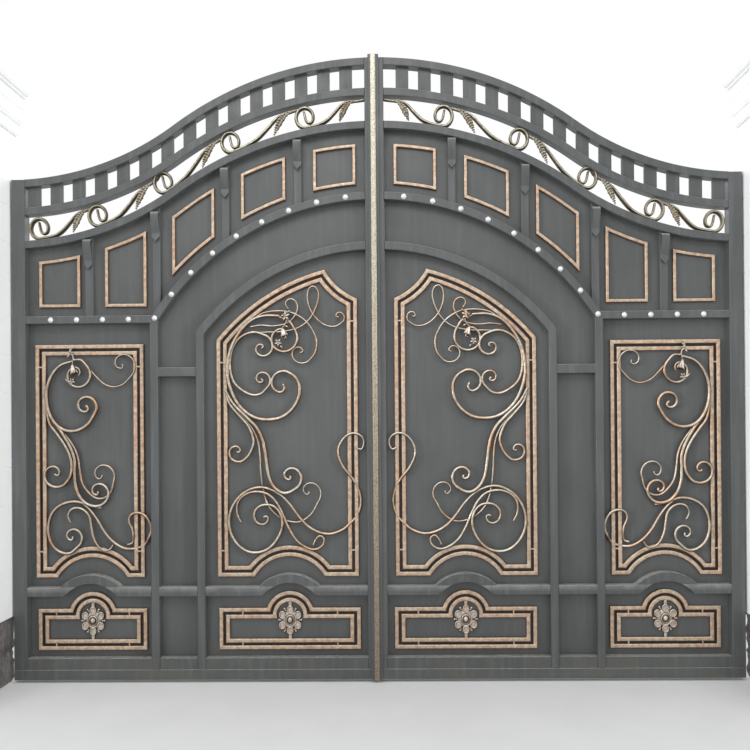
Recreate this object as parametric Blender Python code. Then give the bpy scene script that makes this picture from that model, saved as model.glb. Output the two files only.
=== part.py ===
"""Wrought iron driveway gate: two sheeted steel leaves with scrollwork, hung between masonry piers.

Metres, +Z up. The origin is the middle of the left pier's foot, X runs along the gate and the
front faces -Y. Shapes of a leaf are drawn in (u, z): u is the distance from the gate's middle
line and z the height. side is -1 for the left leaf, +1 for the right one, and mirrors u.
"""

import math

import bmesh
import bpy
from mathutils import Vector

# Driving sizes of the leaves and the piers.
LEAF_WIDTH = 1.920
HINGE_GAP = 0.010
LEAF_GAP = 0.010
PIER_SIZE = 0.50
PIER_BEHIND_GATE = 0.04
PIER_ABOVE_STILE = 0.255
PLINTH_HEIGHT = 0.35
PLINTH_INSET = 0.012
CORNICE_HEIGHT = 0.26
CORNICE_REACH = 0.055
CAP_HEIGHT = 0.05

# The curved rails: height at the outer stile, rise to the meeting stile, and drops below the top rail.
TOP_OUTER = 2.665
TOP_RISE = 0.625
PICKET_DROP_OUTER = 0.15
PICKET_DROP_CENTRE = 0.16
CREST_DROP_OUTER = 0.325
CREST_DROP_CENTRE = 0.334
RIVETED_DROP_OUTER = 0.725
RIVETED_DROP_CENTRE = 0.7085
ARCH_BELOW_RIVETED = 0.2615
ARCH_RISE = 0.468
OGEE_TURN_SHARE = 0.5506

# Sections of the members.
STILE_OUTER_WIDTH = 0.070
STILE_MEETING_WIDTH = 0.045
BAR_WIDTH = 0.042
RAIL_WIDTH = 0.040
FRAME_DEPTH = 0.060
INNER_DEPTH = 0.050
SHEET_THICKNESS = 0.003
SEAT_GAP = 0.0003

# The leaf's straight members. Shares are of the leaf's reach from the gate's middle.
LEAF_BOTTOM = 0.015
KICK_HEIGHT = 0.054
LEDGE_HEIGHT = 0.060
LOWER_RAIL_BOTTOM = 0.455
LOWER_RAIL_HEIGHT = 0.0485
TRANSOM_BELOW_RIVETED = 0.276
TRANSOM_HEIGHT = 0.048
MULLION_SHARE = 0.6094
JAMB_SHARE = 0.4831
KINK_PAST_MULLION = 0.009

# Pickets, counted from the outer stile. Margins run from a stile to the nearest picket's middle.
PICKET_COUNT = 15
PICKET_WIDTH = 0.068
PICKET_THICKNESS = 0.012
PICKET_OUTER_MARGIN = 0.044
PICKET_INNER_MARGIN = 0.099

# Dividers between the crest rail and the riveted rail.
DIVIDER_SHARES = (0.212, 0.412, 0.604, 0.791)
DIVIDER_DEPTH = 0.025
CORBEL_DROP = 0.112
CORBEL_REACH = 0.034
CORBEL_TIP = 0.048

# Trim frames on the sheet, by their margins inside the members round them.
TOP_TRIM_BAR = 0.018
TOP_TRIM_TOP_MARGIN = 0.068
TOP_TRIM_LOW_MARGIN = 0.050
TOP_TRIM_INNER_MARGIN = 0.050
TOP_TRIM_MARGIN_FALL = 0.005
TOP_TRIM_OUTER_MARGIN = 0.059
TRIM_BAR = 0.023
TRIM_GAP = 0.013
TRIM_THICKNESS = 0.016
STUD_HALF = 0.005
STUD_FROM_FOOT = 0.14
STUD_FROM_HEAD = 0.12
PANEL_MULLION_MARGIN = 0.043
PANEL_STILE_MARGIN = 0.035
PANEL_MEETING_MARGIN = 0.0465
PANEL_JAMB_MARGIN = 0.059
PANEL_FOOT_MARGIN = 0.0455
PANEL_HEAD_MARGIN = 0.108
PANEL_ARCH_MARGIN = 0.064
PANEL_FOOT_LEVEL = 0.0035
PANEL_FOOT_SLOPE = 0.578
PANEL_APEX_IN = 0.1735
PANEL_SHOULDER_DROP = 0.156
PANEL_HOLLOW = 0.021
ROSETTE_MULLION_MARGIN = 0.032
ROSETTE_STILE_MARGIN = 0.044
ROSETTE_MEETING_MARGIN = 0.0384
ROSETTE_JAMB_MARGIN = 0.0645
ROSETTE_FOOT_MARGIN = 0.0333
ROSETTE_HEAD_MARGIN = 0.070
ROSETTE_ARCH_MARGIN = 0.0485
ROSETTE_RADIUS = 0.066
ROSETTE_STRETCH = 1.15
ROSETTE_DEPTH = 0.030
LOWER_BUMP_HALF = 0.162
LOWER_BUMP_RISE = 0.0675

# Scroll bars.
SCROLL_RADIUS = 0.008
SCROLL_TIP_RADIUS = 0.0045
SCROLL_SIDES = 6
COLLAR_HALF = 0.018
COLLAR_WALL = 0.0014
CREST_BAR_RADIUS = 0.0065
CREST_CURL_SHARES = (0.191, 0.397, 0.584, 0.766, 0.928)
CREST_CURL_SIZE = 0.373
CREST_CURL_END = 0.55

# The cover strip over the meeting stiles: how far its flat and its bar reach over each leaf.
STRIP_OVER_LEFT = 0.032
STRIP_OVER_RIGHT = 0.025
STRIP_CLEARANCE = 0.005
STRIP_THICKNESS = 0.005
STRIP_BAR_OVER_LEFT = 0.020
STRIP_BAR_OVER_RIGHT = 0.011
STRIP_BAR_DEPTH = 0.012
STRIP_ABOVE_STILE = 0.012

# Hinges.
HINGE_IN = 0.020
HINGE_BEHIND = 0.020
HINGE_LOW = 0.45
HINGE_BELOW_TOP = 0.315
PIN_RADIUS = 0.008
PIN_CLEARANCE = 0.0008
KNUCKLE_WALL = 0.0047
KNUCKLE_LENGTH = 0.060
HINGE_PLATE = 0.010

# Derived places.
MEETING_OUTER = LEAF_GAP / 2
MEETING_INNER = MEETING_OUTER + STILE_MEETING_WIDTH
LEAF_OUTER = MEETING_OUTER + LEAF_WIDTH
STILE_INNER = LEAF_OUTER - STILE_OUTER_WIDTH
HALF_CLEAR = LEAF_OUTER + HINGE_GAP
GATE_X = PIER_SIZE / 2 + HALF_CLEAR
GATE_Y = PIER_SIZE / 2 - PIER_BEHIND_GATE
FRONT = -FRAME_DEPTH / 2
BACK = FRAME_DEPTH / 2
INNER_BACK = FRONT + INNER_DEPTH
SHEET_FRONT = INNER_BACK + SEAT_GAP
TRIM_BACK = SHEET_FRONT - SEAT_GAP
TRIM_FRONT = TRIM_BACK - TRIM_THICKNESS
SCROLL_Y = TRIM_FRONT - SEAT_GAP - SCROLL_RADIUS
MULLION_AT = MULLION_SHARE * LEAF_OUTER
MULLION_OUTER = MULLION_AT + BAR_WIDTH / 2
MULLION_INNER = MULLION_AT - BAR_WIDTH / 2
JAMB_AT = JAMB_SHARE * LEAF_OUTER
JAMB_OUTER = JAMB_AT + BAR_WIDTH / 2
JAMB_INNER = JAMB_AT - BAR_WIDTH / 2
KICK_TOP = LEAF_BOTTOM + KICK_HEIGHT
LEDGE_TOP = KICK_TOP + LEDGE_HEIGHT
LOWER_RAIL_TOP = LOWER_RAIL_BOTTOM + LOWER_RAIL_HEIGHT
TOP_CENTRE = TOP_OUTER + TOP_RISE
SHAFT_TOP = TOP_OUTER + PIER_ABOVE_STILE
HINGE_AT = LEAF_OUTER - HINGE_IN
HINGE_Y = BACK + HINGE_BEHIND
HINGE_HIGH = TOP_OUTER - HINGE_BELOW_TOP
HINGE_HEIGHTS = (HINGE_LOW, (HINGE_LOW + HINGE_HIGH) / 2, HINGE_HIGH)
BORE_RADIUS = PIN_RADIUS + PIN_CLEARANCE
KNUCKLE_RADIUS = BORE_RADIUS + KNUCKLE_WALL


def segment_radius(half_chord, rise):
    """The radius of the arc with that rise over that half chord."""
    return (half_chord**2 + rise**2) / (2 * rise)


# The riveted rail is level outside the mullion and an arc inside it, and the door arch springs
# from the jamb below it.
RIVETED_FLAT_TOP = TOP_OUTER - RIVETED_DROP_OUTER
RIVETED_CENTRE_TOP = TOP_CENTRE - RIVETED_DROP_CENTRE
RIVETED_RADIUS = segment_radius(MULLION_AT + KINK_PAST_MULLION, RIVETED_CENTRE_TOP - RIVETED_FLAT_TOP)
RIVETED_MIDDLE = RIVETED_CENTRE_TOP - RIVETED_RADIUS
TRANSOM_TOP = RIVETED_FLAT_TOP - TRANSOM_BELOW_RIVETED
TRANSOM_BOTTOM = TRANSOM_TOP - TRANSOM_HEIGHT
ARCH_CENTRE_TOP = RIVETED_CENTRE_TOP - ARCH_BELOW_RIVETED
ARCH_RADIUS = segment_radius(JAMB_OUTER, ARCH_RISE)
ARCH_MIDDLE = ARCH_CENTRE_TOP - ARCH_RADIUS

# The trim frames, as (low u, high u, bottom, top).
PANEL_FOOT = LOWER_RAIL_TOP + PANEL_FOOT_MARGIN
ROSETTE_FOOT = LEDGE_TOP + ROSETTE_FOOT_MARGIN
ROSETTE_HEAD = LOWER_RAIL_BOTTOM - ROSETTE_HEAD_MARGIN
SIDE_PANEL = (
    MULLION_OUTER + PANEL_MULLION_MARGIN,
    STILE_INNER - PANEL_STILE_MARGIN,
    PANEL_FOOT,
    RIVETED_FLAT_TOP - RAIL_WIDTH - PANEL_HEAD_MARGIN,
)
DOOR_PANEL_RADIUS = ARCH_RADIUS - BAR_WIDTH - PANEL_ARCH_MARGIN
DOOR_PANEL_LOW = MEETING_INNER + PANEL_MEETING_MARGIN
DOOR_PANEL_HIGH = JAMB_INNER - PANEL_JAMB_MARGIN
DOOR_PANEL_SPRING = ARCH_MIDDLE + math.sqrt(DOOR_PANEL_RADIUS**2 - DOOR_PANEL_HIGH**2)
DOOR_PANEL_APEX_AT = DOOR_PANEL_LOW + PANEL_APEX_IN
DOOR_PANEL_APEX = ARCH_MIDDLE + math.sqrt(DOOR_PANEL_RADIUS**2 - DOOR_PANEL_APEX_AT**2)
DOOR_PANEL_SHOULDER = DOOR_PANEL_APEX - PANEL_SHOULDER_DROP
DOOR_PANEL = (DOOR_PANEL_LOW, DOOR_PANEL_HIGH, PANEL_FOOT, DOOR_PANEL_SHOULDER)
ROSETTE_SIDE = (MULLION_OUTER + ROSETTE_MULLION_MARGIN, STILE_INNER - ROSETTE_STILE_MARGIN, ROSETTE_FOOT, ROSETTE_HEAD)
ROSETTE_DOOR = (MEETING_INNER + ROSETTE_MEETING_MARGIN, JAMB_INNER - ROSETTE_JAMB_MARGIN, ROSETTE_FOOT, ROSETTE_HEAD)
SIDE_CENTRE = (ROSETTE_SIDE[0] + ROSETTE_SIDE[1]) / 2
DOOR_CENTRE = (ROSETTE_DOOR[0] + ROSETTE_DOOR[1]) / 2

# The frames' arches follow the humps of the lower rails. A panel's foot keeps a short level
# stretch on both sides of its arch, inside its inner ring too.
RINGS_WIDTH = 2 * TRIM_BAR + TRIM_GAP
ROSETTE_ARCH_RISE = LOWER_BUMP_RISE + ROSETTE_HEAD_MARGIN - ROSETTE_ARCH_MARGIN
ROSETTE_ARCH_HALF = LOWER_BUMP_HALF - ROSETTE_ARCH_MARGIN
ROSETTE_AT = (ROSETTE_FOOT + ROSETTE_HEAD + ROSETTE_ARCH_RISE) / 2
PANEL_ARCH_HALF = SIDE_CENTRE - SIDE_PANEL[0] - RINGS_WIDTH * (1 + PANEL_FOOT_SLOPE) - PANEL_FOOT_LEVEL
PANEL_ARCH_RISE = PANEL_FOOT_SLOPE * PANEL_ARCH_HALF

# Places along the leaf that repeat.
DIVIDERS_AT = [share * LEAF_OUTER for share in DIVIDER_SHARES]
CREST_CURLS_AT = [share * LEAF_OUTER for share in CREST_CURL_SHARES]
CREST_BAND = min(CREST_DROP_OUTER - PICKET_DROP_OUTER, CREST_DROP_CENTRE - PICKET_DROP_CENTRE) - RAIL_WIDTH
CREST_CURL_RADIUS = CREST_CURL_SIZE * CREST_BAND
FIRST_PICKET_AT = STILE_INNER - PICKET_OUTER_MARGIN
PICKET_PITCH = (FIRST_PICKET_AT - MEETING_INNER - PICKET_INNER_MARGIN) / (PICKET_COUNT - 1)

# Colour, metallic and roughness of each finish.
FINISHES = {
    "frame_paint": ((0.095, 0.098, 0.097), 0.25, 0.48),
    "sheet_paint": ((0.070, 0.071, 0.069), 0.25, 0.52),
    "copper_patina": ((0.50, 0.33, 0.21), 0.75, 0.42),
    "bronze_patina": ((0.36, 0.30, 0.22), 0.85, 0.38),
    "strip_gold": ((0.42, 0.37, 0.26), 0.80, 0.40),
    "pier_stucco": ((0.74, 0.74, 0.76), 0.0, 0.85),
    "plinth_stone": ((0.10, 0.092, 0.085), 0.0, 0.80),
}


def clear_scene():
    for obj in list(bpy.data.objects):
        bpy.data.objects.remove(obj, do_unlink=True)


def finish(name, slot):
    """A Principled material of its own for one node."""
    colour, metallic, roughness = FINISHES[slot]
    material = bpy.data.materials.new(f"{slot}_{name}")
    material.use_nodes = True
    shader = material.node_tree.nodes["Principled BSDF"]
    shader.inputs["Base Color"].default_value = (*colour, 1.0)
    shader.inputs["Metallic"].default_value = metallic
    shader.inputs["Roughness"].default_value = roughness
    return material


# Solids are (points, faces) in gate coordinates: u, y behind the gate's middle plane, z.


def loft(rings, capped=True):
    """A closed skin through rings that have the same number of points."""
    count = len(rings[0])
    points = [point for ring in rings for point in ring]
    faces = []
    for level in range(len(rings) - 1):
        for index in range(count):
            after = (index + 1) % count
            low = level * count
            faces.append((low + index, low + after, low + count + after, low + count + index))
    if capped:
        faces.append(tuple(range(count)))
        faces.append(tuple(range(len(points) - count, len(points))))
    return points, faces


def plate(outline, y_front, y_back):
    """An outline in (u, z), as thick as from y_front to y_back."""
    return loft([[(u, y, z) for u, z in outline] for y in (y_front, y_back)])


def block(u_low, u_high, y_low, y_high, z_low, z_high):
    outline = [(u_low, z_low), (u_high, z_low), (u_high, z_high), (u_low, z_high)]
    return plate(outline, y_low, y_high)


def frame_ring(outer, inner, y_front, y_back):
    """The band between two outlines with the same number of points, as a closed ring."""
    rings = []
    for edge, y in ((outer, y_front), (inner, y_front), (inner, y_back), (outer, y_back)):
        rings.append([(u, y, z) for u, z in edge])
    points, faces = loft(rings, capped=False)
    count = len(outer)
    last = 3 * count
    for index in range(count):
        after = (index + 1) % count
        faces.append((last + index, last + after, after, index))
    return points, faces


def upright(middle_u, middle_y, radius, z_low, z_high, sides=16):
    """A round post about a vertical axis."""
    rings = []
    for z in (z_low, z_high):
        turns = [2 * math.pi * step / sides for step in range(sides)]
        rings.append([(middle_u + radius * math.cos(a), middle_y + radius * math.sin(a), z) for a in turns])
    return loft(rings)


def inset(outline, distance):
    """The outline moved inwards, each corner along its mitre. Outlines run anticlockwise in (u, z)."""
    moved = []
    count = len(outline)
    for index, corner in enumerate(outline):
        here = Vector(corner)
        back = (here - Vector(outline[index - 1])).normalized()
        ahead = (Vector(outline[(index + 1) % count]) - here).normalized()
        normal_back = Vector((-back.y, back.x))
        normal_ahead = Vector((-ahead.y, ahead.x))
        mitre = (normal_back + normal_ahead).normalized()
        reach = distance / max(0.3, mitre.dot(normal_ahead))
        moved.append(tuple(here + mitre * reach))
    return moved


def arc(middle, radius, angle_from, angle_to, steps):
    """Points along a circle's arc, with the angles in radians from +u."""
    turns = [angle_from + (angle_to - angle_from) * step / steps for step in range(steps + 1)]
    return [(middle[0] + radius * math.cos(a), middle[1] + radius * math.sin(a)) for a in turns]


def bow_circle(start, end, rise):
    """Middle and radius of the arc from start to end that rises to the left of the way."""
    start = Vector(start)
    end = Vector(end)
    way = (end - start).normalized()
    left = Vector((-way.y, way.x))
    radius = segment_radius((end - start).length / 2, rise)
    return (start + end) / 2 + left * (rise - radius), radius


def arc_between(middle, start, end, steps):
    """Points along the shorter arc round middle from start to end."""
    reach = Vector(start) - Vector(middle)
    other = Vector(end) - Vector(middle)
    angle = math.atan2(reach.y, reach.x)
    turn = math.remainder(math.atan2(other.y, other.x) - angle, 2 * math.pi)
    return arc(middle, reach.length, angle, angle + turn, steps)


def crossing(middle, radius, other_middle, other_radius):
    """Where two circles cross, at the place with the greater u."""
    gap = Vector(other_middle) - Vector(middle)
    along = (radius**2 - other_radius**2 + gap.length**2) / (2 * gap.length)
    across = math.sqrt(radius**2 - along**2)
    way = gap.normalized()
    foot = Vector(middle) + way * along
    return max(tuple(foot + Vector((-way.y, way.x)) * side * across) for side in (-1, 1))


def smooth(guides, steps):
    """A Catmull-Rom curve through the guide points."""
    points = []
    last = len(guides) - 1
    for index in range(last):
        p0 = Vector(guides[max(0, index - 1)])
        p1 = Vector(guides[index])
        p2 = Vector(guides[index + 1])
        p3 = Vector(guides[min(last, index + 2)])
        for step in range(steps):
            t = step / steps
            bend = 2 * p1 + (p2 - p0) * t + (2 * p0 - 5 * p1 + 4 * p2 - p3) * t * t
            bend += (3 * p1 - p0 - 3 * p2 + p3) * t * t * t
            points.append(tuple(bend / 2))
    points.append(tuple(guides[last]))
    return points


def curl(start, middle, sweep, end_radius, steps):
    """A spiral from start round middle, turning by sweep degrees and ending end_radius away."""
    reach = Vector(start) - Vector(middle)
    angle = math.atan2(reach.y, reach.x)
    points = []
    for step in range(1, steps + 1):
        t = step / steps
        radius = reach.length + (end_radius - reach.length) * t
        turn = angle + math.radians(sweep) * t
        points.append((middle[0] + radius * math.cos(turn), middle[1] + radius * math.sin(turn)))
    return points


def scroll(guides, tail=None, head=None):
    """A forged scroll: smooth through guides, with a curl on its tail and on its head where given."""
    path = smooth(guides, 2)
    if tail:
        path += curl(path[-1], *tail, steps=max(4, round(abs(tail[1]) / 36)))
    if head:
        path = curl(path[0], *head, steps=max(4, round(abs(head[1]) / 36)))[::-1] + path
    return path


def round_bar(path, y, thick, tip, phase=0.5, sides=SCROLL_SIDES):
    """A round bar along a path in the plane y, thick in its middle and thin at both ends."""
    rings = []
    last = len(path) - 1
    for index, (u, z) in enumerate(path):
        before = Vector(path[max(0, index - 1)])
        after = Vector(path[min(last, index + 1)])
        way = (after - before).normalized()
        radius = tip + (thick - tip) * math.sin(math.pi * index / last)
        ring = []
        for step in range(sides):
            angle = 2 * math.pi * (step + phase) / sides
            across = radius * math.cos(angle)
            ring.append((u - way.y * across, y + radius * math.sin(angle), z + way.x * across))
        rings.append(ring)
    return loft(rings)


# Lines of the curved rails.

CURVE_STEPS = 22
CURVE_FROM = MEETING_INNER + SEAT_GAP
CURVE_TO = STILE_INNER - SEAT_GAP
STATIONS = [CURVE_FROM + (CURVE_TO - CURVE_FROM) * step / CURVE_STEPS for step in range(CURVE_STEPS + 1)]


class Ogee:
    """Two arcs that meet in a turn: level at the gate's middle line and at the leaf's outer edge."""

    def __init__(self, outer_height, centre_height):
        rise = centre_height - outer_height
        self.angle = 2 * math.atan2(rise, LEAF_OUTER)
        total = LEAF_OUTER / math.sin(self.angle)
        self.convex = OGEE_TURN_SHARE * total
        self.concave = total - self.convex
        self.low_middle = centre_height - self.convex
        self.high_middle = outer_height + self.concave

    def exact(self, u, below):
        """Height at u of the line that lies below the top edge by the given distance."""
        convex = self.convex - below
        if u <= convex * math.sin(self.angle):
            return self.low_middle + math.sqrt(convex * convex - u * u)
        concave = self.concave + below
        return self.high_middle - math.sqrt(concave * concave - (LEAF_OUTER - u) ** 2)

    def height(self, u, below=0.0):
        """The same on the faceted rail, so that pieces that meet it follow its facets."""
        for low, high in zip(STATIONS, STATIONS[1:]):
            if low <= u <= high:
                share = (u - low) / (high - low)
                return self.exact(low, below) * (1 - share) + self.exact(high, below) * share
        return self.exact(u, below)

    def line(self, u_from, u_to, below):
        """Points of the faceted line between two places, in that order."""
        low, high = min(u_from, u_to), max(u_from, u_to)
        points = [low] + [u for u in STATIONS if low + 1e-6 < u < high - 1e-6] + [high]
        if u_to < u_from:
            points.reverse()
        return [(u, self.height(u, below)) for u in points]


TOP_LINE = Ogee(TOP_OUTER, TOP_CENTRE)
PICKET_LINE = Ogee(TOP_OUTER - PICKET_DROP_OUTER, TOP_CENTRE - PICKET_DROP_CENTRE)
CREST_LINE = Ogee(TOP_OUTER - CREST_DROP_OUTER, TOP_CENTRE - CREST_DROP_CENTRE)


def riveted_height(u, below=0.0):
    """Height at u of the riveted rail's top edge, or of the line below it."""
    radius = RIVETED_RADIUS - below
    flat = RIVETED_FLAT_TOP - below
    if u >= riveted_kink(below):
        return flat
    return RIVETED_MIDDLE + math.sqrt(radius * radius - u * u)


def riveted_kink(below=0.0):
    """Where the riveted rail's arc meets its level part."""
    radius = RIVETED_RADIUS - below
    flat = RIVETED_FLAT_TOP - below
    return math.sqrt(radius * radius - (flat - RIVETED_MIDDLE) ** 2)


def riveted_line(below, steps=16):
    """Points along that line from the meeting stile, through the kink, to the outer stile."""
    kink = riveted_kink(below)
    points = [CURVE_FROM + (kink - CURVE_FROM) * step / steps for step in range(steps + 1)]
    return [(u, riveted_height(u, below)) for u in points] + [(CURVE_TO, RIVETED_FLAT_TOP - below)]


def riveted_foot(u_from, u_to):
    """Points of the faceted rail's underside between two places, in that order."""
    line = riveted_line(RAIL_WIDTH)
    points = []
    for (low, z_low), (high, z_high) in zip(line, line[1:]):
        points.append((low, z_low))
        points += [(u, z_low + (z_high - z_low) * (u - low) / (high - low)) for u in (u_from, u_to) if low < u < high]
    inside = sorted(point for point in points if min(u_from, u_to) <= point[0] <= max(u_from, u_to))
    return inside if u_from < u_to else inside[::-1]


def riveted_slope(u):
    return math.asin(min(1.0, u / RIVETED_RADIUS)) if u < riveted_kink() else 0.0


def crest_slope(u):
    step = 0.002
    return math.atan2(CREST_LINE.height(u) - CREST_LINE.height(u + step), step)


# Placing and joining.


def mesh_of(name, solid, side):
    """A mesh of one solid, mirrored by side, with its faces outward."""
    points, faces = solid
    mesh = bpy.data.meshes.new(name)
    mesh.from_pydata([(u * side, y, z) for u, y, z in points], [], faces)
    shell = bmesh.new()
    shell.from_mesh(mesh)
    bmesh.ops.recalc_face_normals(shell, faces=shell.faces)
    shell.to_mesh(mesh)
    shell.free()
    return mesh


def join(base, other, operation):
    """The Boolean of two mesh objects, kept in base. The other one is removed."""
    modifier = base.modifiers.new(operation.title(), "BOOLEAN")
    modifier.operation = operation
    modifier.solver = "EXACT"
    modifier.object = other
    graph = bpy.context.evaluated_depsgraph_get()
    merged = bpy.data.meshes.new_from_object(base.evaluated_get(graph))
    base.modifiers.clear()
    base.data = merged
    bpy.data.objects.remove(other, do_unlink=True)


def node(name, solids, slot, side=1, cuts=()):
    """One named object, made of solids that are joined and then cut."""
    scene = bpy.context.scene.collection
    base = bpy.data.objects.new(name, mesh_of(name, solids[0], side))
    scene.objects.link(base)
    for operation, group in (("UNION", solids[1:]), ("DIFFERENCE", cuts)):
        for solid in group:
            other = bpy.data.objects.new("helper", mesh_of("helper", solid, side))
            scene.objects.link(other)
            join(base, other, operation)
    base.data.materials.clear()
    base.data.materials.append(finish(name, slot))
    return base


def empty(name, location):
    marker = bpy.data.objects.new(name, None)
    marker.location = location
    bpy.context.scene.collection.objects.link(marker)
    return marker


class Leaf:
    """One leaf. Its nodes hang on an empty that stands on the hinge axis."""

    def __init__(self, title, side):
        self.title = title
        self.side = side
        axis = (GATE_X + side * HINGE_AT, GATE_Y + HINGE_Y, 0.0)
        self.pivot = empty(f"{title}_leaf_pivot", axis)

    def add(self, name, solids, slot, cuts=()):
        obj = node(f"{self.title}_{name}", solids, slot, self.side, cuts)
        obj.parent = self.pivot
        obj.location = (-self.side * HINGE_AT, -HINGE_Y, 0.0)
        return obj


# The leaf's frame.


def knuckle(height):
    """A hinge barrel behind the outer stile, with the strap that holds it."""
    low = height
    high = height + KNUCKLE_LENGTH
    barrel = upright(HINGE_AT, HINGE_Y, KNUCKLE_RADIUS, low, high)
    strap = block(HINGE_AT - 0.012, HINGE_AT + 0.012, BACK - 0.004, HINGE_Y - 0.004, low, high)
    bore = upright(HINGE_AT, HINGE_Y, BORE_RADIUS, low - 0.01, high + 0.01)
    return barrel, strap, bore


def outer_stile(leaf):
    body = block(STILE_INNER, LEAF_OUTER, FRONT, BACK, KICK_TOP + SEAT_GAP, TOP_LINE.height(LEAF_OUTER))
    solids = [body]
    bores = []
    for height in HINGE_HEIGHTS:
        barrel, strap, bore = knuckle(height)
        solids += [strap, barrel]
        bores.append(bore)
    leaf.add("outer_stile", solids, "frame_paint", bores)


def meeting_stile(leaf):
    top = TOP_LINE.height(MEETING_OUTER)
    body = block(MEETING_OUTER, MEETING_INNER, FRONT, BACK, KICK_TOP + SEAT_GAP, top)
    leaf.add("meeting_stile", [body], "frame_paint")


def bays():
    """The stretches between the verticals, from the meeting stile outwards."""
    edges = ((MEETING_INNER, JAMB_INNER), (JAMB_OUTER, MULLION_INNER), (MULLION_OUTER, STILE_INNER))
    return [(low + SEAT_GAP, high - SEAT_GAP) for low, high in edges]


def bottom_rail(leaf):
    solids = [block(MEETING_OUTER, LEAF_OUTER, FRONT, BACK, LEAF_BOTTOM, KICK_TOP)]
    for low, high in bays():
        solids.append(block(low, high, FRONT + 0.004, INNER_BACK, KICK_TOP - 0.01, LEDGE_TOP))
    leaf.add("bottom_rail", solids, "frame_paint")


def curved_band(line):
    """The outline of a rail along an ogee, from stile to stile."""
    return line.line(CURVE_FROM, CURVE_TO, RAIL_WIDTH) + line.line(CURVE_TO, CURVE_FROM, 0.0)


def curved_rails(leaf):
    leaf.add("top_rail", [plate(curved_band(TOP_LINE), FRONT, BACK)], "frame_paint")
    leaf.add("crest_rail", [plate(curved_band(CREST_LINE), FRONT, BACK)], "frame_paint")
    solids = [plate(curved_band(PICKET_LINE), FRONT, BACK)]
    for index in range(PICKET_COUNT):
        middle = FIRST_PICKET_AT - index * PICKET_PITCH
        low = middle - PICKET_WIDTH / 2
        high = middle + PICKET_WIDTH / 2
        foot = RAIL_WIDTH / 2
        below = RAIL_WIDTH + SEAT_GAP
        outline = [(low, PICKET_LINE.height(low, foot)), (high, PICKET_LINE.height(high, foot))]
        outline += TOP_LINE.line(high, low, below)
        solids.append(plate(outline, -PICKET_THICKNESS / 2, PICKET_THICKNESS / 2))
    leaf.add("picket_rail", solids, "frame_paint")


def corbel(u_middle):
    """A bent strap under the crest rail, with a pointed drop."""
    low = u_middle - BAR_WIDTH / 2
    high = u_middle + BAR_WIDTH / 2
    back = INNER_BACK - DIVIDER_DEPTH + 0.004
    face = INNER_BACK - DIVIDER_DEPTH
    top = min(CREST_LINE.height(low, RAIL_WIDTH), CREST_LINE.height(high, RAIL_WIDTH)) - 0.002
    profile = [(back, top), (back, top - CORBEL_DROP)]
    low_end = (face, top - CORBEL_DROP)
    high_end = (face, top - 0.006)
    middle, _ = bow_circle(low_end, high_end, CORBEL_REACH)
    profile += arc_between(middle, low_end, high_end, 8)
    rings = [[(u, y, z) for y, z in profile] for u in (low, high)]
    foot = top - CORBEL_DROP + 0.004
    tip = [(low, foot), (low, foot - 0.4 * CORBEL_TIP), (u_middle, foot - CORBEL_TIP)]
    tip += [(high, foot - 0.4 * CORBEL_TIP), (high, foot)]
    return loft(rings), plate(tip, face - 0.006, back)


def riveted_rail(leaf):
    band = riveted_line(RAIL_WIDTH) + riveted_line(0.0)[::-1]
    solids = [plate(band, FRONT, INNER_BACK)]
    for middle in DIVIDERS_AT:
        low = middle - BAR_WIDTH / 2
        high = middle + BAR_WIDTH / 2
        outline = [(low, riveted_height(low, 0.015)), (high, riveted_height(high, 0.015))]
        outline += CREST_LINE.line(high, low, RAIL_WIDTH + SEAT_GAP)
        solids.append(plate(outline, INNER_BACK - DIVIDER_DEPTH, INNER_BACK))
        solids += corbel(middle)
    leaf.add("riveted_rail", solids, "frame_paint")


def mullion(leaf):
    """The mullion with the transom and the lower rail of the narrow bay, which end at the jamb."""
    foot = KICK_TOP + SEAT_GAP
    head = [(u, z - SEAT_GAP) for u, z in riveted_foot(MULLION_OUTER, MULLION_INNER)]
    post = plate([(MULLION_INNER, foot), (MULLION_OUTER, foot)] + head, FRONT, INNER_BACK)
    low = JAMB_OUTER + SEAT_GAP
    arms = []
    for bottom, top in ((TRANSOM_BOTTOM, TRANSOM_TOP), (LOWER_RAIL_BOTTOM, LOWER_RAIL_TOP)):
        arms.append(block(low, MULLION_AT, FRONT + 0.002, INNER_BACK - 0.001, bottom, top))
    leaf.add("mullion", [post] + arms, "frame_paint")


def door_arch(leaf):
    """The jamb and the arched bar that springs from it to the meeting stile."""
    foot = KICK_TOP + SEAT_GAP
    end = MEETING_INNER + SEAT_GAP
    middle = (0.0, ARCH_MIDDLE)
    inner = ARCH_RADIUS - BAR_WIDTH
    outline = [(JAMB_INNER, foot), (JAMB_OUTER, foot)]
    outline += arc(middle, ARCH_RADIUS, math.acos(JAMB_OUTER / ARCH_RADIUS), math.acos(end / ARCH_RADIUS), 14)
    outline += arc(middle, inner, math.acos(end / inner), math.acos(JAMB_INNER / inner), 14)
    leaf.add("door_arch", [plate(outline, FRONT, INNER_BACK)], "frame_paint")


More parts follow.
